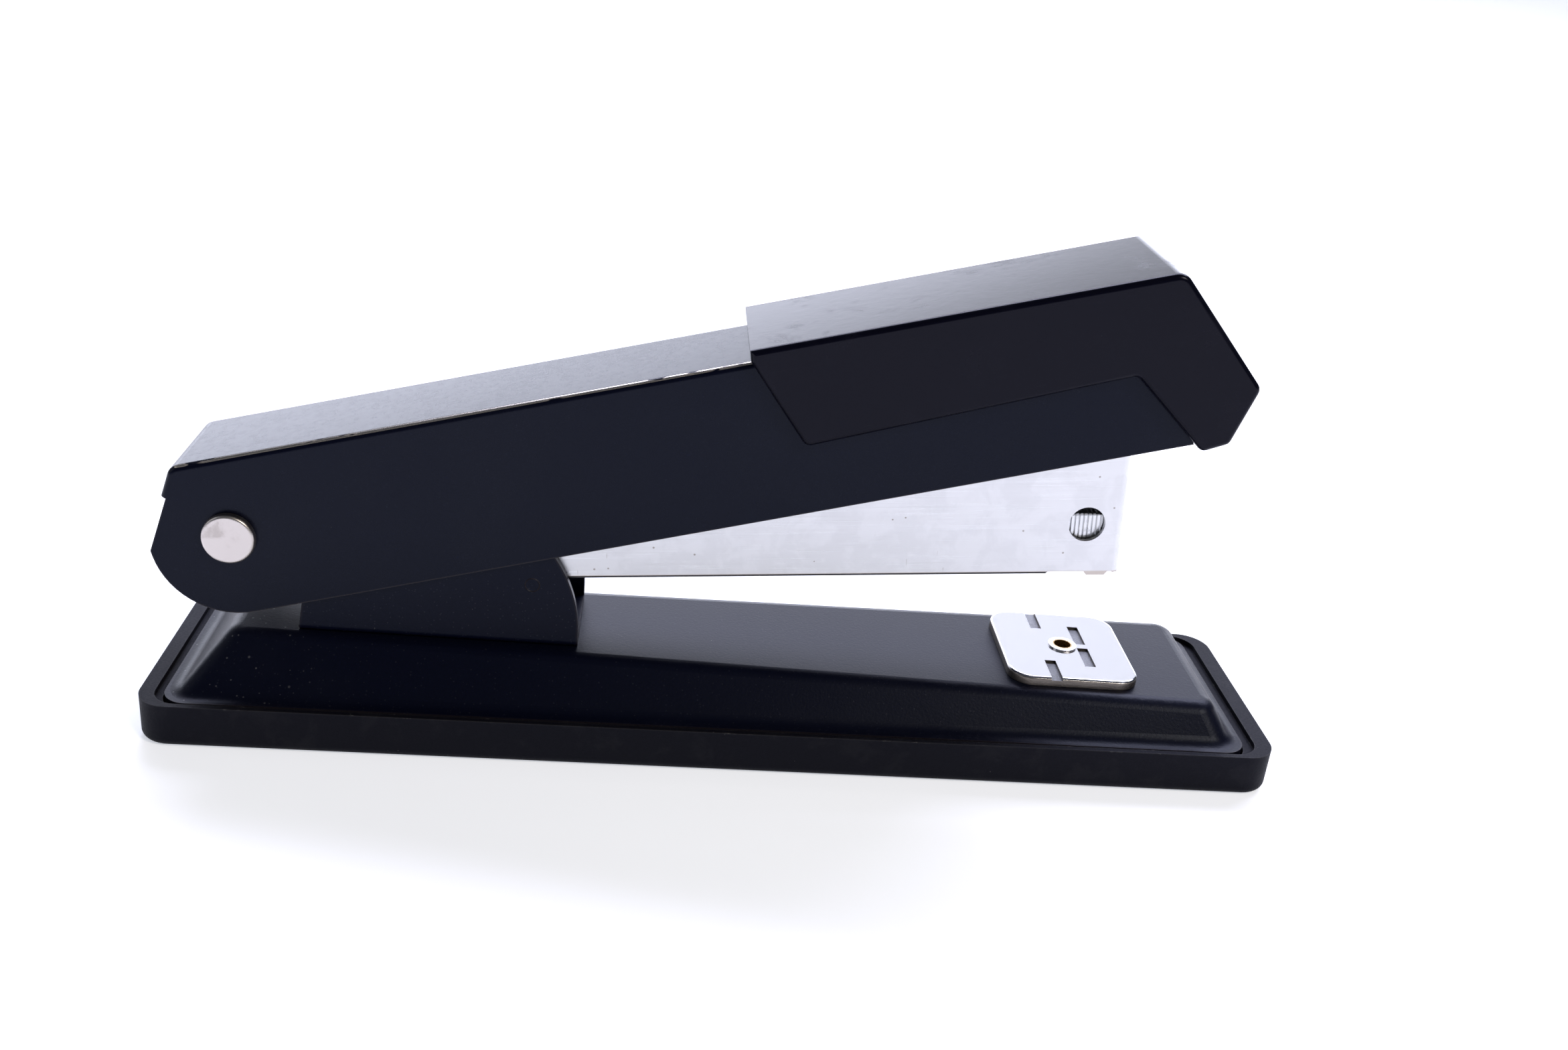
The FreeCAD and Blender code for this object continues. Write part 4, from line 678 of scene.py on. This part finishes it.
def make_ear_rings():
    ear_low, ear_high = own_box("pivot_bracket", "base")
    form = bmesh.new()
    for side in (ear_low.y, ear_high.y):
        outward = math.copysign(1.0, side)
        profile = [(RING_RADIUS - RING_HALF_WIDTH, side - outward * RING_SUNK),
                   (RING_RADIUS, side + outward * RING_HEIGHT),
                   (RING_RADIUS + RING_HALF_WIDTH, side - outward * RING_SUNK)]
        ridge = [form.verts.new((RING_X + radius, y, RING_Z)) for radius, y in profile]
        lines = [form.edges.new(pair) for pair in zip(ridge, ridge[1:])]
        lines.append(form.edges.new((ridge[2], ridge[0])))
        bmesh.ops.spin(form, geom=ridge + lines, cent=(RING_X, 0.0, RING_Z), axis=(0, 1, 0),
                       angle=2 * math.pi, steps=RING_STEPS, use_merge=True)
    bmesh.ops.remove_doubles(form, verts=form.verts[:], dist=SAME_POINT)
    bmesh.ops.recalc_face_normals(form, faces=form.faces[:])
    bmesh.ops.scale(form, verts=form.verts[:], vec=(MM, MM, MM))
    add_piece(form, "ear_rings", "base", "base_enamel")


make_ear_rings()

# %% [markdown]
# Two coil springs shorten when their joint moves. Each is drawn as a merged copy of the CAD spring
# that rides one body and keeps its CAD shape: the pusher's spring rides the magazine, and the
# anvil's spring rides the base.


def add_short_spring(name, node, body):
    """Adds a merged copy of a CAD spring that rides the given body, in place of the CAD node."""
    form = bmesh.new()
    form.from_mesh(nodes[node].data)
    bmesh.ops.remove_doubles(form, verts=form.verts[:], dist=SAME_POINT * MM)
    spring = add_piece(form, name, body, "spring_steel", node)
    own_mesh(spring)


add_short_spring("pusher_coil", "pusher_spring", "magazine")
add_short_spring("anvil_coil", "anvil_spring", "base")

# %% [markdown]
# The studio is a pale table that curves up behind the object. The object's sides mirror the table
# in front of it, so the table glows a little to keep that part white and the shadow faint.

# %% Table
TABLE_HALF_WIDTH = 3.0
TABLE_FRONT = -3.0
TABLE_BACK = 2.2
SWEEP_RADIUS = 0.8
SWEEP_STEPS = 16
WALL_HEIGHT = 1.6
TABLE_GLOW = 0.55


def pale_table():
    """One sheet that lies flat under the object, curves up behind it and ends as a wall."""
    material, tree, shader, own = new_finish(
        "table_white", Specular_IOR_Level=0.1, Roughness=0.7, Emission_Strength=TABLE_GLOW,
        Emission_Color=(0.9, 0.93, 1.0, 1.0))
    cloud = use_group(tree, smudge_group, {"Vector": own, "Size": 600.0, "Level": 0.4})["Mask"]
    wire(tree, shader, fade(tree, cloud, (0.93, 0.93, 0.935, 1), (0.91, 0.91, 0.92, 1)))
    form = bmesh.new()
    start = form.verts.new((-TABLE_HALF_WIDTH, TABLE_FRONT, 0.0))
    end = form.verts.new((-TABLE_HALF_WIDTH, TABLE_BACK, 0.0))
    form.edges.new((start, end))
    bmesh.ops.spin(form, geom=[end], cent=(0.0, TABLE_BACK, SWEEP_RADIUS), axis=(1, 0, 0),
                   angle=math.pi / 2, steps=SWEEP_STEPS, use_merge=False)
    top = max(form.verts, key=lambda vertex: vertex.co.z)
    risen = bmesh.ops.extrude_vert_indiv(form, verts=[top])["verts"]
    bmesh.ops.translate(form, verts=risen, vec=(0.0, 0.0, WALL_HEIGHT))
    across = bmesh.ops.extrude_edge_only(form, edges=form.edges[:])
    moved = [part for part in across["geom"] if isinstance(part, bmesh.types.BMVert)]
    bmesh.ops.translate(form, verts=moved, vec=(2 * TABLE_HALF_WIDTH, 0.0, 0.0))
    bmesh.ops.recalc_face_normals(form, faces=form.faces[:])
    mesh = bpy.data.meshes.new("table")
    form.to_mesh(mesh)
    form.free()
    mesh.shade_smooth()
    mesh.materials.append(material)
    table = bpy.data.objects.new("table", mesh)
    bpy.context.scene.collection.objects.link(table)
    print("table faces:", len(mesh.polygons))


pale_table()


# %% [markdown]
# Four soft panels light the scene. The low one far behind is what the handle's top mirrors, and
# the high one behind shines on what faces up. The weak one on the left fills, and the small warm
# one stands in front on the right.

# %% Lights
# name: centre, target, width, height, brightness, colour
PANELS = {
    "low_back_panel": ((-0.2, 1.9, 0.38), (0.0, 0.0, 0.05), 3.8, 0.62, 4.4, (0.82, 0.85, 1.0)),
    "high_back_panel": ((0.4, 1.35, 1.6), (0.0, 0.0, 0.0), 2.6, 0.8, 10.5, (0.78, 0.79, 1.0)),
    "left_panel": ((-1.3, -0.2, 0.7), (0.0, 0.0, 0.0), 0.9, 0.9, 0.8, (0.93, 0.95, 1.0)),
    "key_panel": ((0.75, -0.75, 0.95), (0.0, 0.0, 0.0), 0.45, 0.45, 13.0, (1.0, 0.92, 0.82)),
}
WORLD_COLOR = (0.8, 0.87, 1.0, 1)
WORLD_STRENGTH = 0.08


def add_panel(name, centre, target, width, height, brightness, color):
    """A soft panel whose power grows with its area, so its face keeps the given brightness."""
    light = bpy.data.lights.new(name, "AREA")
    light.shape = "RECTANGLE"
    light.size = width
    light.size_y = height
    light.energy = brightness * math.pi * width * height
    light.color = color
    lamp = bpy.data.objects.new(name, light)
    lamp.location = centre
    lamp.rotation_mode = "QUATERNION"
    lamp.rotation_quaternion = (Vector(target) - Vector(centre)).to_track_quat("-Z", "Y")
    bpy.context.scene.collection.objects.link(lamp)


for panel_name, panel_values in PANELS.items():
    add_panel(panel_name, *panel_values)
world = bpy.data.worlds.new("studio")
world.use_nodes = True
sky = world.node_tree.nodes["Background"].inputs
sky["Color"].default_value = WORLD_COLOR
sky["Strength"].default_value = WORLD_STRENGTH
bpy.context.scene.world = world
bpy.context.scene.view_settings.view_transform = "Standard"
bpy.context.scene.view_settings.look = "None"
print("lights:", sorted(PANELS))

# %% [markdown]
# The camera stands on the -Y side, above the object. It looks down by about 24 degrees and a
# little to the right, and it is rolled by a few degrees.

# %% Camera
SENSOR_WIDTH = 36.0
FOCAL_LENGTH = 34.59
NEAREST_SEEN = 0.01
EYE_PLACE = Vector((-13.51, -226.98, 136.22)) * MM
EYE_RIGHT = Vector((0.99439, -0.05552, 0.09001))
EYE_UP = Vector((-0.05930, 0.41201, 0.90925))
camera = bpy.data.cameras.new("camera")
camera.sensor_width = SENSOR_WIDTH
camera.lens = FOCAL_LENGTH
camera.clip_start = NEAREST_SEEN
eye = bpy.data.objects.new("camera", camera)
turn = Matrix((EYE_RIGHT, EYE_UP, EYE_RIGHT.cross(EYE_UP))).transposed().to_4x4()
eye.matrix_world = Matrix.Translation(EYE_PLACE) @ turn
bpy.context.scene.collection.objects.link(eye)
bpy.context.scene.camera = eye
print("camera at mm:", [round(x / MM, 1) for x in eye.location])
